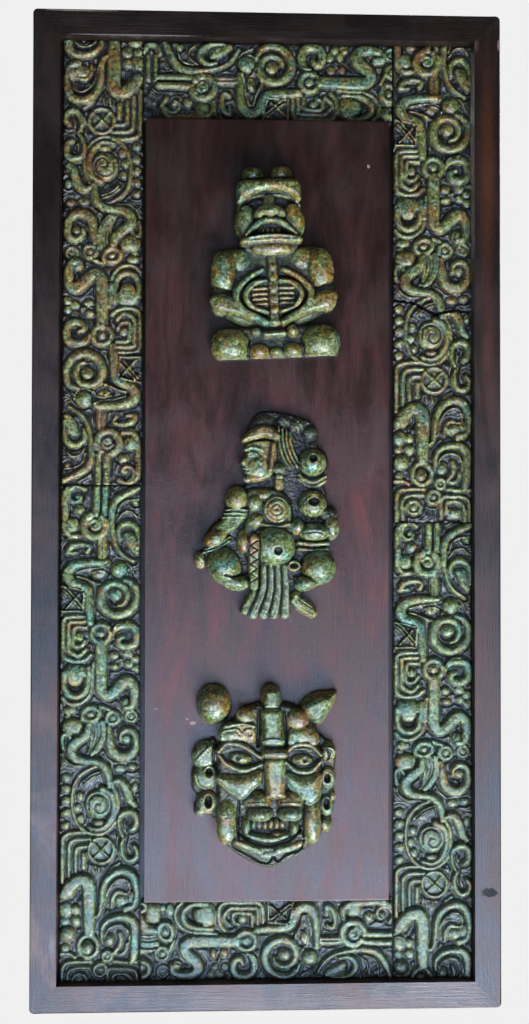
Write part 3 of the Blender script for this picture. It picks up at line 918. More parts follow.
def mask_mouth(f):
    """The muzzle, teeth and fangs, the lips and the chin."""
    f.sink([(-18, -23), (-6, -25), (6, -24), (19, -24), (21, -32), (12, -38.6), (0, -41), (-12, -38.6),
            (-18, -32)], 6.2)
    for cx, warm in ((-6.4, .15), (14.4, .5)):
        f.dome(cx, -14.6, 9.6, 8, rise=8.6, base=7, warm=warm)
        f.dome(cx + (1.4 if cx < 0 else -.4), -21.8, 8.6, 5.2, rise=11.4, base=7.4, power=2.2, warm=-.4)
        f.groove([(cx - 7, -17.6, .6), (cx, -16.8, .7), (cx + 7.4, -17.8, .6)], 1.6)
        f.ridge([(cx - 6, -15.2, .5), (cx, -14.6, .55), (cx + 6, -15.2, .5)], .7)
    for x in (-9, -5.4, -1.8, 1.8, 5.4, 9):
        f.dome(x, -28.4, 1.9, 3.9, rise=6, base=6, power=3)
    f.dome(-13.4, -29.4, 2.9, 7, rise=8.4, base=6, power=2.4)
    f.dome(16.4, -30.4, 3.1, 6, rise=8.4, base=6, power=2.4)
    f.band([(-12.6, -34.8, 1.8), (-6, -37, 2.3), (3, -37.8, 2.4), (11.6, -35.4, 2)], 7, base=6,
           shoulder=1.7)
    f.dome(6, -34.8, 4.4, 1.8, rise=6, base=6, warm=.9)
    f.groove([(-18, -34, 1), (-9, -40.4, 1.3), (2, -42, 1.3), (12, -39.6, 1.3), (20.6, -32.6, 1)], 3.4,
             dark=1)
    f.band([(-20.4, -39.2, 2.2), (-13.6, -42, 2.7), (-5.6, -45, 2.6)], 5.4, base=6.6, shoulder=2)
    f.band([(6, -45, 2.6), (13, -43.4, 2.9), (20.6, -40.6, 2.5)], 5.4, base=6.6, shoulder=2)
    f.dome(.4, -47.6, 6.6, 3, rise=4, base=6.6)
    f.groove([(-22.4, -37.6, .7), (-21.4, -42.4, .8), (-11, -48.4, .9), (-5, -52, .8), (0, -52.6, .7),
              (3.4, -49, .7), (6.4, -51.6, .7), (12, -47.4, .8), (20, -44.6, .8), (22.6, -38.4, .7)], 2.4,
             dark=1)
    f.ridge([(-27.4, -39.6, .9), (-15, -49.6, 1.1), (1, -54.8, 1.2), (14, -50.6, 1.1), (27, -42, .9)], 1.2)


def mask_jaws(f):
    """The jaws on either side of the mouth."""
    f.dome(-25.8, -27, 6.4, 14.4, rise=6, base=8, power=2.2, warm=.25)
    f.dome(27.6, -28, 5.8, 13.4, rise=6, base=8, power=2.2, warm=.25)
    for x in (-18.6, 22):
        f.groove([(x + .5, -14, .8), (x + .3, -20, 1.1), (x - .2, -28, 1), (x + .3, -36.4, .7)], 3.2,
                 dark=.8)


def mask_ears(f):
    """The pierced ornaments down each side."""
    f.dome(-39.2, 13.6, 8.4, 9.4, rise=6.4, base=2.4, tilt=-20, flat=3, warm=-.4)
    f.groove([(-33.4, 21, .9), (-34, 14, 1.1), (-33.4, 8, .9)], 3, dark=1)
    f.ridge([(-44, 11.6, .6), (-39, 17, .7), (-35.6, 19.6, .6)], 1)
    f.dome(-38.6, .4, 8.2, 8.8, rise=6.4, base=2.4, flat=3.4)
    f.pit(-36.6, 3.6, 2.3, 2.3, 5, dark=1)
    f.ridge(circle(-36.6, 3.6, 3.6, .6), .9, closed=True)
    f.groove([(-44.6, 1, .6), (-42.6, -4.4, .7), (-37.6, -6.8, .6)], 1.2, dark=.8)
    f.dome(-37.6, -15.4, 7.2, 8, rise=7, base=2.4, flat=3.4)
    f.pit(-37, -14.6, 2.5, 4, 5.6, dark=1)
    f.dome(-42, -20.6, 4.2, 4.2, rise=5.4, base=3, warm=.2)
    f.dome(37.8, 15.4, 5.4, 7, rise=6.4, base=2.4, warm=.1)
    f.groove([(35.6, 19.6, .6), (38.6, 14.6, .8), (37, 10, .6)], 2.4, dark=.9)
    f.ridge(arc(38, 14.6, 4.2, -100, 220, .6), 1)
    f.dome(37.8, -1, 5, 7.8, rise=6.4, base=2.4, flat=3, warm=.2)
    f.pit(37.4, -.6, 2.2, 3, 5.4, dark=1)
    f.ridge(circle(37.6, -.6, 3.8, .55, squash=1.5), .8, closed=True)
    f.dome(37, -18, 5, 7.2, rise=6.4, base=2.4, flat=3)
    f.pit(37, -16.6, 2.2, 3.6, 5.4, dark=1)
    f.dome(36, -29.4, 4.6, 5.6, rise=6.4, base=2.6)
    f.dome(40.6, -12, 2.2, 4, rise=4.4, base=3, warm=.8)


def mask_finish(f):
    """Where the stone is paler."""
    f.tint((-32, 38.6, 7, 4, -.45), (31, 38, 5, 5, -.4), (-15, -8, 8, 5, -.4), (25, -11, 8, 5, -.45),
           (3, 23, 6, 3, -.4), (3, -47, 26, 5, -.45))


SEATED = [seated_masses, seated_face, seated_arms, seated_feet, seated_finish]
KNEELING = [kneeling_masses, kneeling_head, kneeling_ear, kneeling_trunk, kneeling_pack,
            kneeling_arm, kneeling_knee, kneeling_apron, kneeling_foot, kneeling_finish]
MASK = [mask_masses, mask_forehead, mask_eyes, mask_cheeks, mask_nose, mask_mouth, mask_jaws,
        mask_ears, mask_finish]

FIGURE_PITCH = 0.45
FIGURE_GRIT = ((1.0, 1.0, 8), (0.6, 2.2, 9))
FIGURE_SKIN = ((0.5, 1.7, 10), (0.5, 4.5, 11))


def carved(parts, blend, left, right, low, high):
    """A figure's field, rough where it is dark with paste and slightly uneven elsewhere."""
    f = Relief(left, right, low, high, FIGURE_PITCH, 0, blend=blend)
    for part in parts:
        part(f)
    grit = grain(f, *FIGURE_GRIT)
    raised = f.height > 2
    rough = (f.dark > .6) & raised
    f.height += np.where(rough, GRIT_DEPTH * grit, SKIN_DEPTH * grain(f, *FIGURE_SKIN) * raised)
    f.dark -= np.where(rough, .34 * np.clip(grit - .3, 0, 1), 0)
    return f


# ---------- height fields into closed meshes ----------

ON_TOP, ON_RIM, BELOW = 0, 1, 2    # where a point of a casting's mesh lies


def enter(obj, material, node):
    """Puts a piece in the scene, in place of one CAD node."""
    bpy.context.scene.collection.objects.link(obj)
    obj.data.materials.append(material)
    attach(obj, "root")
    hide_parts(node)


def add_mesh(name, points, faces, smooth, marks, material, node):
    """A piece from (x, y, z) points in millimetres, faces and the marks that its material reads."""
    mesh = bpy.data.meshes.new(name)
    at = np.stack([points[:, 0], -points[:, 2], points[:, 1]], axis=1) * MM
    mesh.from_pydata(at.tolist(), [], faces)
    mesh.polygons.foreach_set("use_smooth", smooth)
    for key, values in marks.items():
        layer = mesh.attributes.new(key, "FLOAT", "POINT")
        layer.data.foreach_set("value", np.asarray(values, dtype=np.float32))
    ends = np.empty(len(mesh.edges) * 2, dtype=np.int32)
    mesh.edges.foreach_get("vertices", ends)
    pair = marks["skirt"][ends.reshape(-1, 2)]
    sharp = mesh.attributes.new("sharp_edge", "BOOLEAN", "EDGE")
    sharp.data.foreach_set("value", (pair == ON_RIM).all(axis=1) | (pair == BELOW).all(axis=1))
    mesh.update()
    mesh.validate()
    enter(bpy.data.objects.new(name, mesh), material, node)


def rim_edges(faces):
    """The edges used by one face only, in the direction that their face runs."""
    pairs = np.stack([faces.ravel(), np.roll(faces, -1, axis=1).ravel()], axis=1)
    key = pairs.min(axis=1).astype(np.int64) * (faces.max() + 1) + pairs.max(axis=1)
    _, index, uses = np.unique(key, return_index=True, return_counts=True)
    return pairs[index[uses == 1]]


def loops_of(edges):
    """Closed runs of points, from edges in any order."""
    ahead = {}
    for a, b in edges.tolist():
        ahead.setdefault(a, []).append(b)
    loops = []
    while ahead:
        start = next(iter(ahead))
        loop = []
        here = start
        while not loop or here != start:
            loop.append(here)
            there = ahead[here].pop()
            if not ahead[here]:
                del ahead[here]
            here = there
        loops.append(loop)
    return loops


def add_casting(name, points, faces, back, marks, material, node):
    """A casting from its front: side walls go down to the level of its back, and a flat face closes it."""
    edges = rim_edges(faces)
    used = np.unique(edges)
    below = {int(v): len(points) + i for i, v in enumerate(used)}
    low = points[used].copy()
    low[:, 2] = back
    walls = [(b, a, below[a], below[b]) for a, b in edges.tolist()]
    backs = [[below[v] for v in reversed(loop)] for loop in loops_of(edges)]
    skirt = np.full(len(points), ON_TOP)
    skirt[used] = ON_RIM
    marks = {key: np.concatenate([values, values[used]]) for key, values in marks.items()}
    marks["skirt"] = np.concatenate([skirt, np.full(len(used), BELOW)])
    smooth = np.arange(len(faces) + len(walls) + len(backs)) < len(faces)
    add_mesh(name, np.concatenate([points, low]), faces.tolist() + walls + backs, smooth, marks,
             material, node)


NARROW = 0.5           # the widths of the two blurs that find edges and hollows
BROAD = 1.3
HOLLOW_DEPTH = 1.1
EDGE_HEIGHT = 0.35


def field_marks(relief, ground, full):
    """Where the surface is a hollow, an edge or warm in colour. Nothing above `full` is a hollow floor."""
    height = relief.height
    narrow = blurred(height, NARROW / relief.pitch)
    broad = blurred(height, BROAD / relief.pitch)
    hollow = np.clip((broad - height) / HOLLOW_DEPTH + 0.1, 0, 1)
    deep = np.clip(1 - (height - ground) / full, 0, 1)
    return dict(
        hollow=np.clip(np.maximum(hollow, np.maximum(deep, relief.dark * 0.9)), 0, 1),
        edge=np.clip((height - narrow) / EDGE_HEIGHT, 0, 1),
        warm=np.clip(relief.warm, -1, 1))


def rows_at(field, rows):
    """A field read at places between its rows."""
    low = np.clip(np.floor(rows).astype(int), 0, field.shape[0] - 2)
    part = (rows - low)[:, None]
    return field[low] * (1 - part) + field[low + 1] * part


# The crack's line over the mould.
CRACK = [(-1, 178.8), (11, 180), (22, 185.4), (27, 187.8), (38, 185.4), (51, 185.8)]
CRACK_WIDTH = 0.8
CRACK_DEPTH = 4.2
END_WEAR = 0.5         # how far the cut edges of a strip are rubbed down


def crack_gap(u, v):
    """How far each place is from the crack, which wanders a little."""
    gap = np.full(u.shape, FAR)
    for start, end in zip(CRACK, CRACK[1:]):
        gap = np.minimum(gap, beside(u, v, *start, *end)[1])
    return gap + 0.35 * lattice_noise(u, v, 1.7, 21)


def make_strip(node, mould, marks, turn, start, cracked, sandy, material):
    """A length of the mould, from its millimetre `start`, turned to fill the box of its node."""
    left, right, bottom, top, back, _ = face_on(node)
    length = max(right - left, top - bottom)
    stop = start + length
    along = np.linspace(start, stop, int(round(length / STRIP_PITCH)) + 1)
    rows = (along - MOULD_TOP) / mould.pitch
    height = rows_at(mould.height, rows)
    hollow = rows_at(marks["hollow"], rows)
    u, v = np.meshgrid(mould.x[0], along)
    from_edge = np.minimum(np.minimum(u, STRIP_WIDTH - u), np.minimum(v - start, stop - v))
    height = height - END_WEAR * np.clip(1 - from_edge, 0, 1) ** 2
    if cracked:
        gap = crack_gap(u, v)
        height = height - CRACK_DEPTH * np.clip(1.15 - gap / CRACK_WIDTH, 0, 1)
        hollow = np.maximum(hollow, np.clip(1.6 - gap, 0, 1))
    v = v - start
    x, y = {0: (left + u, top - v), 180: (right - u, bottom + v),
            90: (left + v, bottom + u), -90: (right - v, top - u)}[turn]
    points = np.stack([x.ravel(), y.ravel(), (back + height).ravel()], axis=1)
    number = np.arange(len(points)).reshape(u.shape)
    faces = np.stack([number[:-1, :-1], number[1:, :-1], number[1:, 1:], number[:-1, 1:]], axis=-1)
    if turn in (90, -90):
        faces = faces[..., ::-1]
    marks = dict(hollow=hollow.ravel(), edge=rows_at(marks["edge"], rows).ravel(),
                 warm=(rows_at(marks["warm"], rows) + sandy).ravel())
    add_casting(node + "_cast", points, faces.reshape(-1, 4), back, marks, material, node)


LEAST_HEIGHT = 0.6     # a figure's edge is at least this thick
FIGURE_FLOOR = 4.5     # lower than this, a figure counts as a hollow


def onto_outline(relief):
    """The grid's places, with those beside the outline moved onto it, and which ones those are."""
    pitch = relief.pitch
    inside = relief.inside
    slope_y, slope_x = np.gradient(inside, pitch)
    steep = slope_x ** 2 + slope_y ** 2 + 1e-6
    near = (np.abs(inside) < 0.75 * pitch) & (steep > 0.1)
    limit = 0.9 * pitch
    move = lambda at, slope: at + np.where(near, np.clip(-inside * slope / steep, -limit, limit), 0)
    return move(relief.x, slope_x), move(relief.y, slope_y), near


def carried_out(relief):
    """The heights, with those just outside the outline taken from their neighbours inside it."""
    proud = relief.inside > 0
    total = np.zeros_like(relief.height)
    weight = np.zeros_like(relief.height)
    for shift in ((dy, dx) for dy in (-1, 0, 1) for dx in (-1, 0, 1)):
        total += np.roll(np.where(proud, relief.height, 0), shift, (0, 1))
        weight += np.roll(proud.astype(float), shift, (0, 1))
    return np.maximum(np.where(proud, relief.height, total / np.maximum(weight, 1)), LEAST_HEIGHT)


def corners(grid):
    """A grid's values at the four corners of each of its cells, going round."""
    return grid[:-1, :-1], grid[:-1, 1:], grid[1:, 1:], grid[1:, :-1]


def make_figure(node, relief, x0, y0, lean, material):
    """A figure's field, as far as its outline, on the face of the panel."""
    x, y, near = onto_outline(relief)
    cells = np.logical_and.reduce(corners((relief.inside > 0) | near))
    cells &= sum(corners(relief.inside)) / 4 > -0.1 * relief.pitch
    used = np.zeros(relief.inside.shape, dtype=bool)
    for corner in corners(used):
        corner |= cells
    number = np.full(used.shape, -1)
    number[used] = np.arange(used.sum())
    faces = np.stack(corners(number), axis=-1)[cells]
    px, py = x[used], y[used]
    c, s = math.cos(lean), math.sin(lean)
    points = np.stack([x0 + px * c - py * s, y0 + px * s + py * c,
                       PANEL_FRONT + carried_out(relief)[used]], axis=1)
    marks = {key: values[used] for key, values in field_marks(relief, 0, FIGURE_FLOOR).items()}
    add_casting(node + "_relief", points, faces, PANEL_FRONT, marks, material, node)


# ---------- materials ----------

class Nodes:
    """Short calls for building a material's node tree."""

    def __init__(self, name, shader="ShaderNodeBsdfPrincipled"):
        self.material = bpy.data.materials.new(name)
        self.material.use_nodes = True
        self.tree = self.material.node_tree
        self.tree.nodes.clear()
        self.shader = self.add(shader)
        self.put(self.add("ShaderNodeOutputMaterial").inputs[0], self.shader.outputs[0])

    def put(self, socket, value):
        """Links a socket to the input, or sets the input's own value."""
        if isinstance(value, bpy.types.NodeSocket):
            self.tree.links.new(value, socket)
        elif value is not None:
            socket.default_value = (*value, 1) if socket.type == "RGBA" else value

    def add(self, kind, sockets=(), **settings):
        """A node with some settings, and values or links for some of its inputs."""
        node = self.tree.nodes.new(kind)
        for key, value in settings.items():
            setattr(node, key, value)
        for key, value in dict(sockets).items():
            self.put(node.inputs[key], value)
        return node

    def finished(self, sockets):
        """The material, with these inputs of its shader linked or set."""
        for key, value in sockets.items():
            self.put(self.shader.inputs[key], value)
        return self.material

    def coords(self, scale=(1, 1, 1), shift=(0, 0, 0)):
        """Places on the object in metres, stretched and shifted."""
        place = self.add("ShaderNodeTexCoord").outputs["Object"]
        sockets = {"Vector": place, "Scale": scale, "Location": shift}
        return self.add("ShaderNodeMapping", sockets).outputs[0]

    def noise(self, at, scale, detail, rough=0.55, distortion=0.0):
        return self.add("ShaderNodeTexNoise", {"Vector": at, "Scale": scale, "Detail": detail,
                                               "Roughness": rough, "Distortion": distortion}).outputs["Fac"]

    def cells(self, at, scale):
        return self.add("ShaderNodeTexVoronoi", {"Vector": at, "Scale": scale}).outputs

    def mark(self, name):
        """A number kept in the mesh's points."""
        return self.add("ShaderNodeAttribute", attribute_name=name).outputs["Fac"]

    def part(self, vector, kind, axis):
        """One number of a place or a colour."""
        return self.add("ShaderNodeSeparate" + kind, {0: vector}).outputs[axis]

    def height(self):
        """Metres above the middle of the plaque."""
        return self.part(self.coords(), "XYZ", "Z")

    def ramp(self, value, stops):
        """A colour that runs through stops of (value, colour)."""
        node = self.add("ShaderNodeValToRGB", {"Fac": value})
        while len(node.color_ramp.elements) < len(stops):
            node.color_ramp.elements.new(0.5)
        for element, (at, colour) in zip(node.color_ramp.elements, stops):
            element.position = at
            element.color = (*colour, 1)
        return node.outputs["Color"]

    def span(self, value, low, high, to_low=0.0, to_high=1.0):
        """Runs smoothly from to_low to to_high as the value goes from low to high."""
        return self.add("ShaderNodeMapRange", {"Value": value, "From Min": low, "From Max": high,
                                               "To Min": to_low, "To Max": to_high},
                        interpolation_type="SMOOTHSTEP").outputs[0]

    def plus(self, a, b, clamp=False):
        return self.add("ShaderNodeMath", {0: a, 1: b}, operation="ADD", use_clamp=clamp).outputs[0]

    def times(self, a, b):
        return self.add("ShaderNodeMath", {0: a, 1: b}, operation="MULTIPLY").outputs[0]

    def mix(self, share, a, b):
        """Colour a, and b where the share is 1."""
        node = self.add("ShaderNodeMix", {"Factor": share}, data_type="RGBA")
        for socket, value in zip([s for s in node.inputs if s.type == "RGBA"], (a, b)):
            self.put(socket, value)
        return next(s for s in node.outputs if s.type == "RGBA")

    def bump(self, height, distance, strength, normal=None):
        return self.add("ShaderNodeBump", {"Distance": distance, "Strength": strength, "Height": height,
                                           "Normal": normal}).outputs[0]

    def blemish(self, x, z, wide, high, soft):
        """1 inside a ragged spot of half sizes wide and high on the front, 0 outside."""
        size = (wide * MM, BLEMISH_DEPTH * MM, high * MM)
        middle = (x * MM, -FRAME_FRONT * MM, z * MM)
        place = self.coords([1 / s for s in size], [-m / s for m, s in zip(middle, size)])
        far = self.add("ShaderNodeVectorMath", {0: place}, operation="LENGTH").outputs["Value"]
        ragged = self.plus(far, self.noise(self.coords(), RAGGED, 3))
        return self.span(ragged, 1.7, 0.5) if soft else self.span(ragged, 1.55, 1.25)


# Scales of the noises, in features per metre.
MOTTLE, CHIPS, CLOUDS, DRIFT, RUSTING = 330, 680, 85, 72, 105
EDGE_LIGHT, GRAINS, PASTE_CRUMB, SHINE, STONE_GRAIN, STONE_PITS = 260, 1500, 1100, 300, 900, 280
RAGGED = 700
BLEMISH_DEPTH = 8.0

# Colours are linear. A stone's run from its darkest flecks to its lightest.
GREEN = [(0.30, (0.010, 0.024, 0.004)), (0.41, (0.040, 0.075, 0.010)), (0.49, (0.095, 0.150, 0.020)),
         (0.57, (0.158, 0.250, 0.052)), (0.67, (0.290, 0.410, 0.165)), (0.80, (0.590, 0.680, 0.460))]
TEAL = [(0.30, (0.006, 0.030, 0.018)), (0.43, (0.018, 0.085, 0.050)), (0.53, (0.045, 0.200, 0.130)),
        (0.65, (0.140, 0.400, 0.280)), (0.80, (0.440, 0.660, 0.520))]
OCHRE = [(0.30, (0.036, 0.016, 0.002)), (0.42, (0.130, 0.068, 0.006)), (0.53, (0.290, 0.180, 0.016)),
         (0.66, (0.450, 0.350, 0.075)), (0.80, (0.640, 0.600, 0.290))]
RUST = [(0.30, (0.020, 0.006, 0.002)), (0.45, (0.100, 0.032, 0.004)), (0.58, (0.290, 0.105, 0.010)),
        (0.76, (0.340, 0.150, 0.050))]
PALE = [(0.30, (0.050, 0.064, 0.044)), (0.46, (0.220, 0.280, 0.200)), (0.60, (0.440, 0.540, 0.440)),
        (0.76, (0.740, 0.800, 0.720))]
PASTE = [(0.38, (0.004, 0.004, 0.003)), (0.54, (0.016, 0.014, 0.009)), (0.63, (0.062, 0.056, 0.040)),
         (0.74, (0.300, 0.280, 0.240))]
CHIP_SEAM = (0.012, 0.016, 0.004)
RUBBED_EDGE = (0.50, 0.54, 0.36)
PALE_GRAIN = (0.50, 0.62, 0.46)
DARK_GRAIN = (0.012, 0.018, 0.008)
HIGH_SHADE = (0.020, 0.018, 0.006)


def stone_body(n, at, shift, warm, warmth, sand, rusty):
    """Crushed stone in mottled green and teal, with drifts of ochre, rust and pale sand."""
    chips = n.cells(at, CHIPS)
    flecks = n.plus(n.times(n.noise(at, MOTTLE, 5, 0.7, 0.4), 0.73),
                    n.times(n.part(chips["Color"], "Color", 0), 0.30))
    body = n.mix(n.span(n.noise(at, CLOUDS, 2, 0.5, 0.6), 0.51, 0.62, 0, 0.9), n.ramp(flecks, GREEN),
                 n.ramp(flecks, TEAL))
    drift = n.noise(n.coords(shift=[s + 3.1 for s in shift]), DRIFT, 3, 0.55, 0.8)
    sandy = n.times(n.span(drift, 0.50 + sand, 0.62 + sand, 0, 0.95), n.span(warm, -0.06, 0))
    body = n.mix(n.plus(sandy, n.times(warm, warmth), clamp=True), body, n.ramp(flecks, OCHRE))
    rusting = n.noise(n.coords(shift=[s + 7.7 for s in shift]), RUSTING, 2, 0.5, 0.5)
    spots = n.times(n.span(rusting, 0.60, 0.70), n.span(drift, 0.46, 0.58, 0.05, 0.9))
    patches = n.times(n.span(warm, 0.4, 1.3, 0, rusty), n.span(rusting, 0.47, 0.57))
    body = n.mix(n.plus(spots, patches, clamp=True), body, n.ramp(flecks, RUST))
    body = n.mix(n.span(warm, -0.05, -1.0), body, n.ramp(flecks, PALE))
    return n.mix(n.span(chips["Distance"], 0.55, 0.95, 0, 0.45), body, CHIP_SEAM)


def casting_material(name, shift, warmth, sand, gloss, dulled, rusty, paste_gloss=None, shaded=0):
    """Stone in resin with dark paste in its hollows, duller to the foot and shaded to the top."""
    n = Nodes(name)
    at = n.coords(shift=shift)
    hollow = n.mark("hollow")
    body = stone_body(n, at, shift, n.mark("warm"), warmth, sand, rusty)
    rubbed = n.times(n.span(n.mark("edge"), 0.25, 0.9, 0, 0.20),
                     n.span(n.noise(at, EDGE_LIGHT, 2), 0.42, 0.6))
    body = n.mix(rubbed, body, RUBBED_EDGE)
    grains = n.noise(at, GRAINS, 2, 0.6)
    body = n.mix(n.span(grains, 0.57, 0.70, 0, 0.26), body, PALE_GRAIN)
    body = n.mix(n.span(grains, 0.43, 0.30, 0, 0.35), body, DARK_GRAIN)
    body = n.mix(n.span(hollow, 0.25, 0.72), body, n.ramp(n.noise(at, PASTE_CRUMB, 3, 0.6), PASTE))
    share, dull_colour = dulled
    body = n.mix(n.span(n.height(), 0.02, -0.28, 0, share), body, dull_colour)
    if shaded:
        body = n.mix(n.span(n.height(), 0.02, 0.30, 0, shaded), body, HIGH_SHADE)
    shine = n.span(n.noise(at, SHINE, 3), 0.35, 0.7, 0.22, 0.46)
    fine = n.bump(n.noise(at, STONE_GRAIN, 3, 0.7), 0.0008, 0.8)
    return n.finished({
        "Base Color": body,
        "Roughness": n.plus(shine, n.span(hollow, 0.2, 0.7, 0, 0.10)),
        "Coat Weight": gloss if paste_gloss is None else n.span(hollow, 0.15, 0.6, gloss, paste_gloss),
        "Coat Roughness": 0.16,
        "Normal": n.bump(n.noise(at, STONE_PITS, 2), 0.0010, 0.7, fine)})


# How much each axis counts: less along the grain, so that a pattern is drawn out that way.
ALONG = {"x": lambda share: (share, 1, 1), "z": lambda share: (1, 1, share)}
PORES, FIGURING, WEAVE, CLOUDY, RUBBING, SPECKS = 1300, 60, 1500, 24, 26, 260
MAHOGANY = [(0.30, (0.0070, 0.0050, 0.0050)), (0.46, (0.0140, 0.0080, 0.0072)),
            (0.60, (0.0270, 0.0110, 0.0090)), (0.78, (0.0560, 0.0180, 0.0130))]
RED_CLOUD = (0.052, 0.018, 0.011)
DARK_PORE = (0.004, 0.003, 0.003)
PALE_WEAVE = (0.060, 0.040, 0.038)
DUST = (0.30, 0.27, 0.26)
HIGH_WOOD = (0.008, 0.0045, 0.0025)
WORN_WOOD = (0.165, 0.084, 0.070)


def wood_material(name, grain_axis, shift, tone, blemishes=(), worn=0):
    """Dark polished mahogany. Blemishes are (x, z, half sizes, colour, share, soft); hard ones are dull."""
    n = Nodes(name)
    drawn, patchy = (n.coords(ALONG[grain_axis](share), shift) for share in (0.04, 0.22))
    across = n.coords(ALONG["z" if grain_axis == "x" else "x"](0.25), shift)
    plain = n.coords((1, 1, 1), shift)
    fine = n.noise(drawn, PORES, 3, 0.6)
    broad = n.noise(patchy, FIGURING, 7, 0.68, 0.5)
    weave = n.plus(n.times(n.noise(across, WEAVE, 2, 0.5), 0.5),
                   n.times(n.noise(plain, PORES, 2, 0.6), 0.5))
    cloud = n.noise(plain, CLOUDY, 3, 0.6)
    base = n.ramp(broad, [(at, [c * t for c, t in zip(colour, tone)]) for at, colour in MAHOGANY])
    base = n.mix(n.span(cloud, 0.45, 0.66, 0, 0.75), base, RED_CLOUD)
    base = n.mix(n.span(fine, 0.56, 0.74, 0, 0.75), base, DARK_PORE)
    base = n.mix(n.span(weave, 0.50, 0.66, 0, 0.55), base, PALE_WEAVE)
    base = n.mix(n.span(n.cells(plain, SPECKS)["Distance"], 0.035, 0.012, 0, 0.6), base, DUST)
    base = n.mix(n.span(n.height(), -0.05, 0.25, 0, 0.62), base, HIGH_WOOD)
    if worn:
        rubbed = n.span(n.noise(plain, RUBBING, 4, 0.6, 0.4), 0.44, 0.66, 0, worn)
        base = n.mix(n.times(rubbed, n.span(n.height(), -0.05, -0.22)), base, WORN_WOOD)
    polish = n.plus(n.span(broad, 0.3, 0.7, 0.31, 0.45), n.span(cloud, 0.40, 0.62, 0, 0.07))
    polish = n.plus(polish, n.span(n.height(), -0.12, 0.20, 0.02, -0.05))
    for x, z, wide, high, colour, share, soft in blemishes:
        spot = n.blemish(x, z, wide, high, soft)
        base = n.mix(n.times(spot, share), base, colour)
        if not soft:
            polish = n.plus(polish, n.times(spot, 0.4))
    return n.finished({
        "Base Color": base,
        "Roughness": polish,
        "Normal": n.bump(weave, 0.00030, 0.5, n.bump(fine, 0.00030, 0.8))})


# ---------- wood ----------

CORNER_RADIUS = 2.8
CORNER_CUTS = (18, 45, 72)         # degrees round each corner
MITRE_PLAY = 0.27                  # each member is drawn this much nearer to the joint's middle
MITRE_REACH = (0.1, 0.5)           # how far from the mitre's plane the ends of the members lie
ARRIS = {"backing": 0.5, "panel_wood": 0.7, "frame_wood": 0.6}
MERGE = 1e-6                       # metres


def round_corners(shape):
    """Cuts the frame's outer corners round, with the same planes for both members that meet there."""
    for side, end in ((-1, -1), (-1, 1), (1, -1), (1, 1)):
        centre = Vector((side * (HALF_WIDTH - CORNER_RADIUS), 0, end * (HALF_HEIGHT - CORNER_RADIUS)))
        for turn in CORNER_CUTS:
            out = Vector((side * math.cos(math.radians(turn)), 0, end * math.sin(math.radians(turn))))
            cut = bmesh.ops.bisect_plane(
                shape, geom=shape.verts[:] + shape.edges[:] + shape.faces[:],
                plane_co=(centre + out * CORNER_RADIUS) * MM, plane_no=out, clear_outer=True)
            rim = [e for e in cut["geom_cut"] if isinstance(e, bmesh.types.BMEdge)]
            if rim:
                bmesh.ops.holes_fill(shape, edges=rim, sides=0)


def off_mitre(vert):
    """Millimetres from a point to the plane of the nearest mitre, measured along a member."""
    return (abs(vert.co.z) - abs(vert.co.x)) / MM - (HALF_HEIGHT - HALF_WIDTH)


def close_mitres(shape):
    """Draws the ends of the frame's members together, to a hairline."""
    least, most = MITRE_REACH
    for vert in shape.verts:
        off = off_mitre(vert)
        if least < off < most:
            vert.co.x += math.copysign(MITRE_PLAY * MM, vert.co.x)
        elif least < -off < most:
            vert.co.z += math.copysign(MITRE_PLAY * MM, vert.co.z)


def weigh_edges(shape, member):
    """Arrises are broken, and the mitred joints of the frame's members stay flush."""
    weight = shape.edges.layers.float.new("bevel_weight_edge")
    for edge in shape.edges:
        if len(edge.link_faces) == 2 and edge.calc_face_angle() > math.radians(30):
            mitred = member and all(abs(off_mitre(v)) < MITRE_REACH[0] for v in edge.verts)
            edge[weight] = 0.0 if mitred else 1.0


def add_wood(node, name, material, slot):
    """A copy of a solid with its edges broken."""
    shape = bmesh.new()
    shape.from_mesh(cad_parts[node].data)
    bmesh.ops.remove_doubles(shape, verts=shape.verts[:], dist=MERGE)
    close_mitres(shape)
    round_corners(shape)
    weigh_edges(shape, slot == "frame_wood")
    obj = bpy.data.objects.new(name, bpy.data.meshes.new(name))
    shape.to_mesh(obj.data)
    shape.free()
    bevel = obj.modifiers.new("edges", "BEVEL")
    bevel.width = ARRIS[slot] * MM
    bevel.segments = 2
    bevel.limit_method = "WEIGHT"
    bevel.use_clamp_overlap = False
    enter(obj, material, node)


left_upright = wood_material("mahogany_left", "z", (0, 0, 0), (0.9, 1.0, 1.1), [
    (-134, -272, 2.4, 10, (0.22, 0.20, 0.19), 0.45, True)], worn=0.62)
right_upright = wood_material("mahogany_right", "z", (5.3, 0, 0), (1.4, 1.1, 0.9), [
    (139.8, 214, 6.6, 84, (0.120, 0.040, 0.015), 0.55, True),
    (140.4, 96, 5.4, 60, (0.090, 0.028, 0.012), 0.5, True),
    (140.4, -242, 5.4, 3.2, (0.004, 0.003, 0.003), 1, False),
    (147.2, 296, 1.1, 3.8, (0.22, 0.135, 0.13), 1, False),
    (132.4, 296, 2.4, 6.0, (0.12, 0.080, 0.068), 0.7, True)])
crosswise = wood_material("mahogany_crosswise", "x", (1.3, 0, 0), (0.8, 1.0, 1.1), [
    (-118, 313.8, 24, 0.8, (0.24, 0.20, 0.16), 1, False),
    (-84, 298.5, 44, 0.5, (0.20, 0.19, 0.18), 1, False)], worn=0.35)
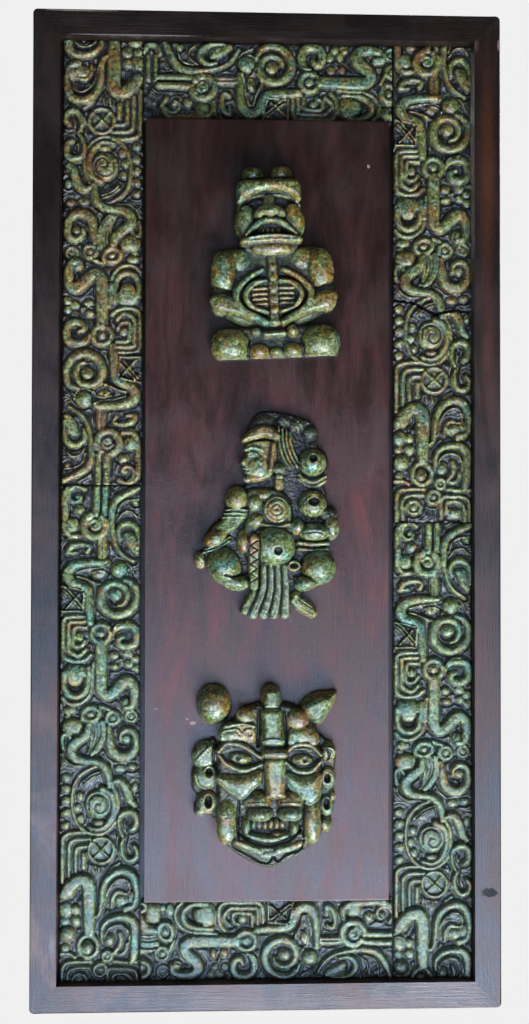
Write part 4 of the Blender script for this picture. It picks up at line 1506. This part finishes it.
panel_wood = wood_material("mahogany_panel", "z", (0.4, 0, 2.0), (2.9, 1.2, 0.85), [
    (64, 218, 1.1, 1.8, (0.30, 0.27, 0.24), 1, False),
    (-70, -126, 1.8, 1.0, (0.16, 0.12, 0.12), 1, False),
    (-47, -135, 2.2, 1.5, (0.42, 0.28, 0.28), 1, False),
    (-50.4, -132.4, 1.1, 0.7, (0.34, 0.22, 0.22), 1, False)])
backing = wood_material("backing", "z", (2.2, 0, 0), (1.6, 1.8, 1.8))

add_wood("back_board", "back_board_panel", backing, "backing")
add_wood("centre_panel", "centre_panel_wood", panel_wood, "panel_wood")
for node, wood in (("left_stile", left_upright), ("right_stile", right_upright), ("top_rail", crosswise),
                   ("bottom_rail", crosswise)):
    add_wood(node, node + "_wood", wood, "frame_wood")

# ---------- castings ----------

# Node, turn, the mould's millimetre at its start, whether it is cracked, and how sandy it is.
STRIPS = [
    ("left_lower_relief", 0, 0.3, False, -0.02),
    ("left_upper_relief", 180, -1.5, False, 1.1),
    ("right_upper_relief", 0, 15.2, True, 0.7),
    ("right_lower_relief", 0, 0.0, False, -0.02),
    ("top_relief", 90, -12.6, False, 0.4),
    ("bottom_relief", -90, 0.6, False, -0.02),
]
# Node, parts and their blend, where its middle lies, its lean in radians, and how far it reaches from
# there: left, right, low and high.
FIGURES = [
    ("seated_figure", SEATED, 1.4, (2.1, 155), 0.05, (-48, 50, -66, 68)),
    ("kneeling_figure", KNEELING, 1.1, (0, -6), 0, (-50, 50, -66, 72)),
    ("feline_mask", MASK, 0.9, (0, -168), 0, (-52, 50, -62, 62)),
]
STRIP_FLOOR = 1.6      # lower than this above its bed, a strip counts as a hollow

strip_stone = casting_material(
    "strip_stone", (0, 0, 0), warmth=0.25, sand=0.035, gloss=0.34,
    dulled=(0.42, (0.038, 0.056, 0.046)), rusty=0.62, shaded=0.14)
figure_stone = casting_material(
    "figure_stone", (0.7, 0.2, 0.5), warmth=0.75, sand=0.005, gloss=0.50,
    dulled=(0.26, (0.050, 0.046, 0.014)), rusty=0.9, paste_gloss=0.12)

mould = make_mould()
mould_marks = field_marks(mould, BED, STRIP_FLOOR)
for node, turn, start, cracked, sandy in STRIPS:
    make_strip(node, mould, mould_marks, turn, start, cracked, sandy, strip_stone)
for node, parts, blend, middle, lean, extent in FIGURES:
    make_figure(node, carved(parts, blend, *extent), *middle, lean, figure_stone)

# ---------- camera, lights, stage ----------

CAMERA_AT = (-0.0418, -0.9165, -0.0171)
CAMERA_TURN = (90.959, -0.084, -2.55)
ROOM_LIGHT = (0.95, 0.90, 0.93)
ROOM_STRENGTH = 0.105
BACKDROP_GREY = (0.87, 0.87, 0.87)
BACKDROP_RADIUS = 9
FLOOR_HALF = 7
FLOOR_LEVEL = -1.9

lens = bpy.data.cameras.new("camera")
lens.lens = 50
lens.sensor_width = 36
lens.clip_start = 0.05
camera = bpy.data.objects.new("camera", lens)
camera.location = CAMERA_AT
camera.rotation_euler = [math.radians(a) for a in CAMERA_TURN]
bpy.context.scene.collection.objects.link(camera)
bpy.context.scene.camera = camera


def area_light(name, at, aim, width, height, radiance, colour):
    """A rectangular light at a place, turned towards another."""
    light = bpy.data.lights.new(name, "AREA")
    light.shape = "RECTANGLE"
    light.size = width
    light.size_y = height
    light.energy = radiance * width * height * math.pi
    light.color = colour
    obj = bpy.data.objects.new(name, light)
    obj.location = at
    obj.rotation_euler = (Vector(aim) - Vector(at)).to_track_quat("-Z", "Y").to_euler()
    bpy.context.scene.collection.objects.link(obj)
    return obj


area_light("key", (0.48, -0.92, -1.40), (0, 0, -0.05), 0.94, 0.69, 27, (0.94, 0.97, 1.0))
sheen = area_light("sheen", (-0.02, -0.94, -0.62), (0, 0, -0.36), 1.5, 0.80, 8.0, (0.61, 0.86, 1.24))
sheen.visible_diffuse = False
fill = area_light("fill", (-0.7, -1.2, 0.5), (0, 0, 0.1), 0.7, 0.7, 0.8, (1.0, 0.92, 0.80))
fill.visible_glossy = False
area_light("behind", (0.5, 1.3, 0.7), (0, 0, 0), 0.9, 0.9, 9.0, (1.0, 0.98, 0.95))

world = bpy.data.worlds.new("room")
world.use_nodes = True
background = world.node_tree.nodes["Background"]
background.inputs[0].default_value = (*ROOM_LIGHT, 1)
background.inputs[1].default_value = ROOM_STRENGTH
bpy.context.scene.world = world
bpy.context.scene.view_settings.view_transform = "Standard"


def add_stage(name, shape):
    """A pale, evenly lit part of the stage, which the camera alone sees."""
    glow = Nodes(name, "ShaderNodeEmission").finished({"Color": BACKDROP_GREY})
    mesh = bpy.data.meshes.new(name)
    shape.to_mesh(mesh)
    shape.free()
    mesh.materials.append(glow)
    obj = bpy.data.objects.new(name, mesh)
    bpy.context.scene.collection.objects.link(obj)
    obj.visible_diffuse = False
    obj.visible_glossy = False
    obj.visible_shadow = False
    obj.visible_transmission = False


shell = bmesh.new()
bmesh.ops.create_uvsphere(shell, u_segments=48, v_segments=24, radius=BACKDROP_RADIUS)
bmesh.ops.reverse_faces(shell, faces=shell.faces)
add_stage("backdrop", shell)
ground = bmesh.new()
ground.faces.new([ground.verts.new((x * FLOOR_HALF, y * FLOOR_HALF, FLOOR_LEVEL))
                  for x, y in ((-1, -1), (1, -1), (1, 1), (-1, 1))])
add_stage("floor", ground)
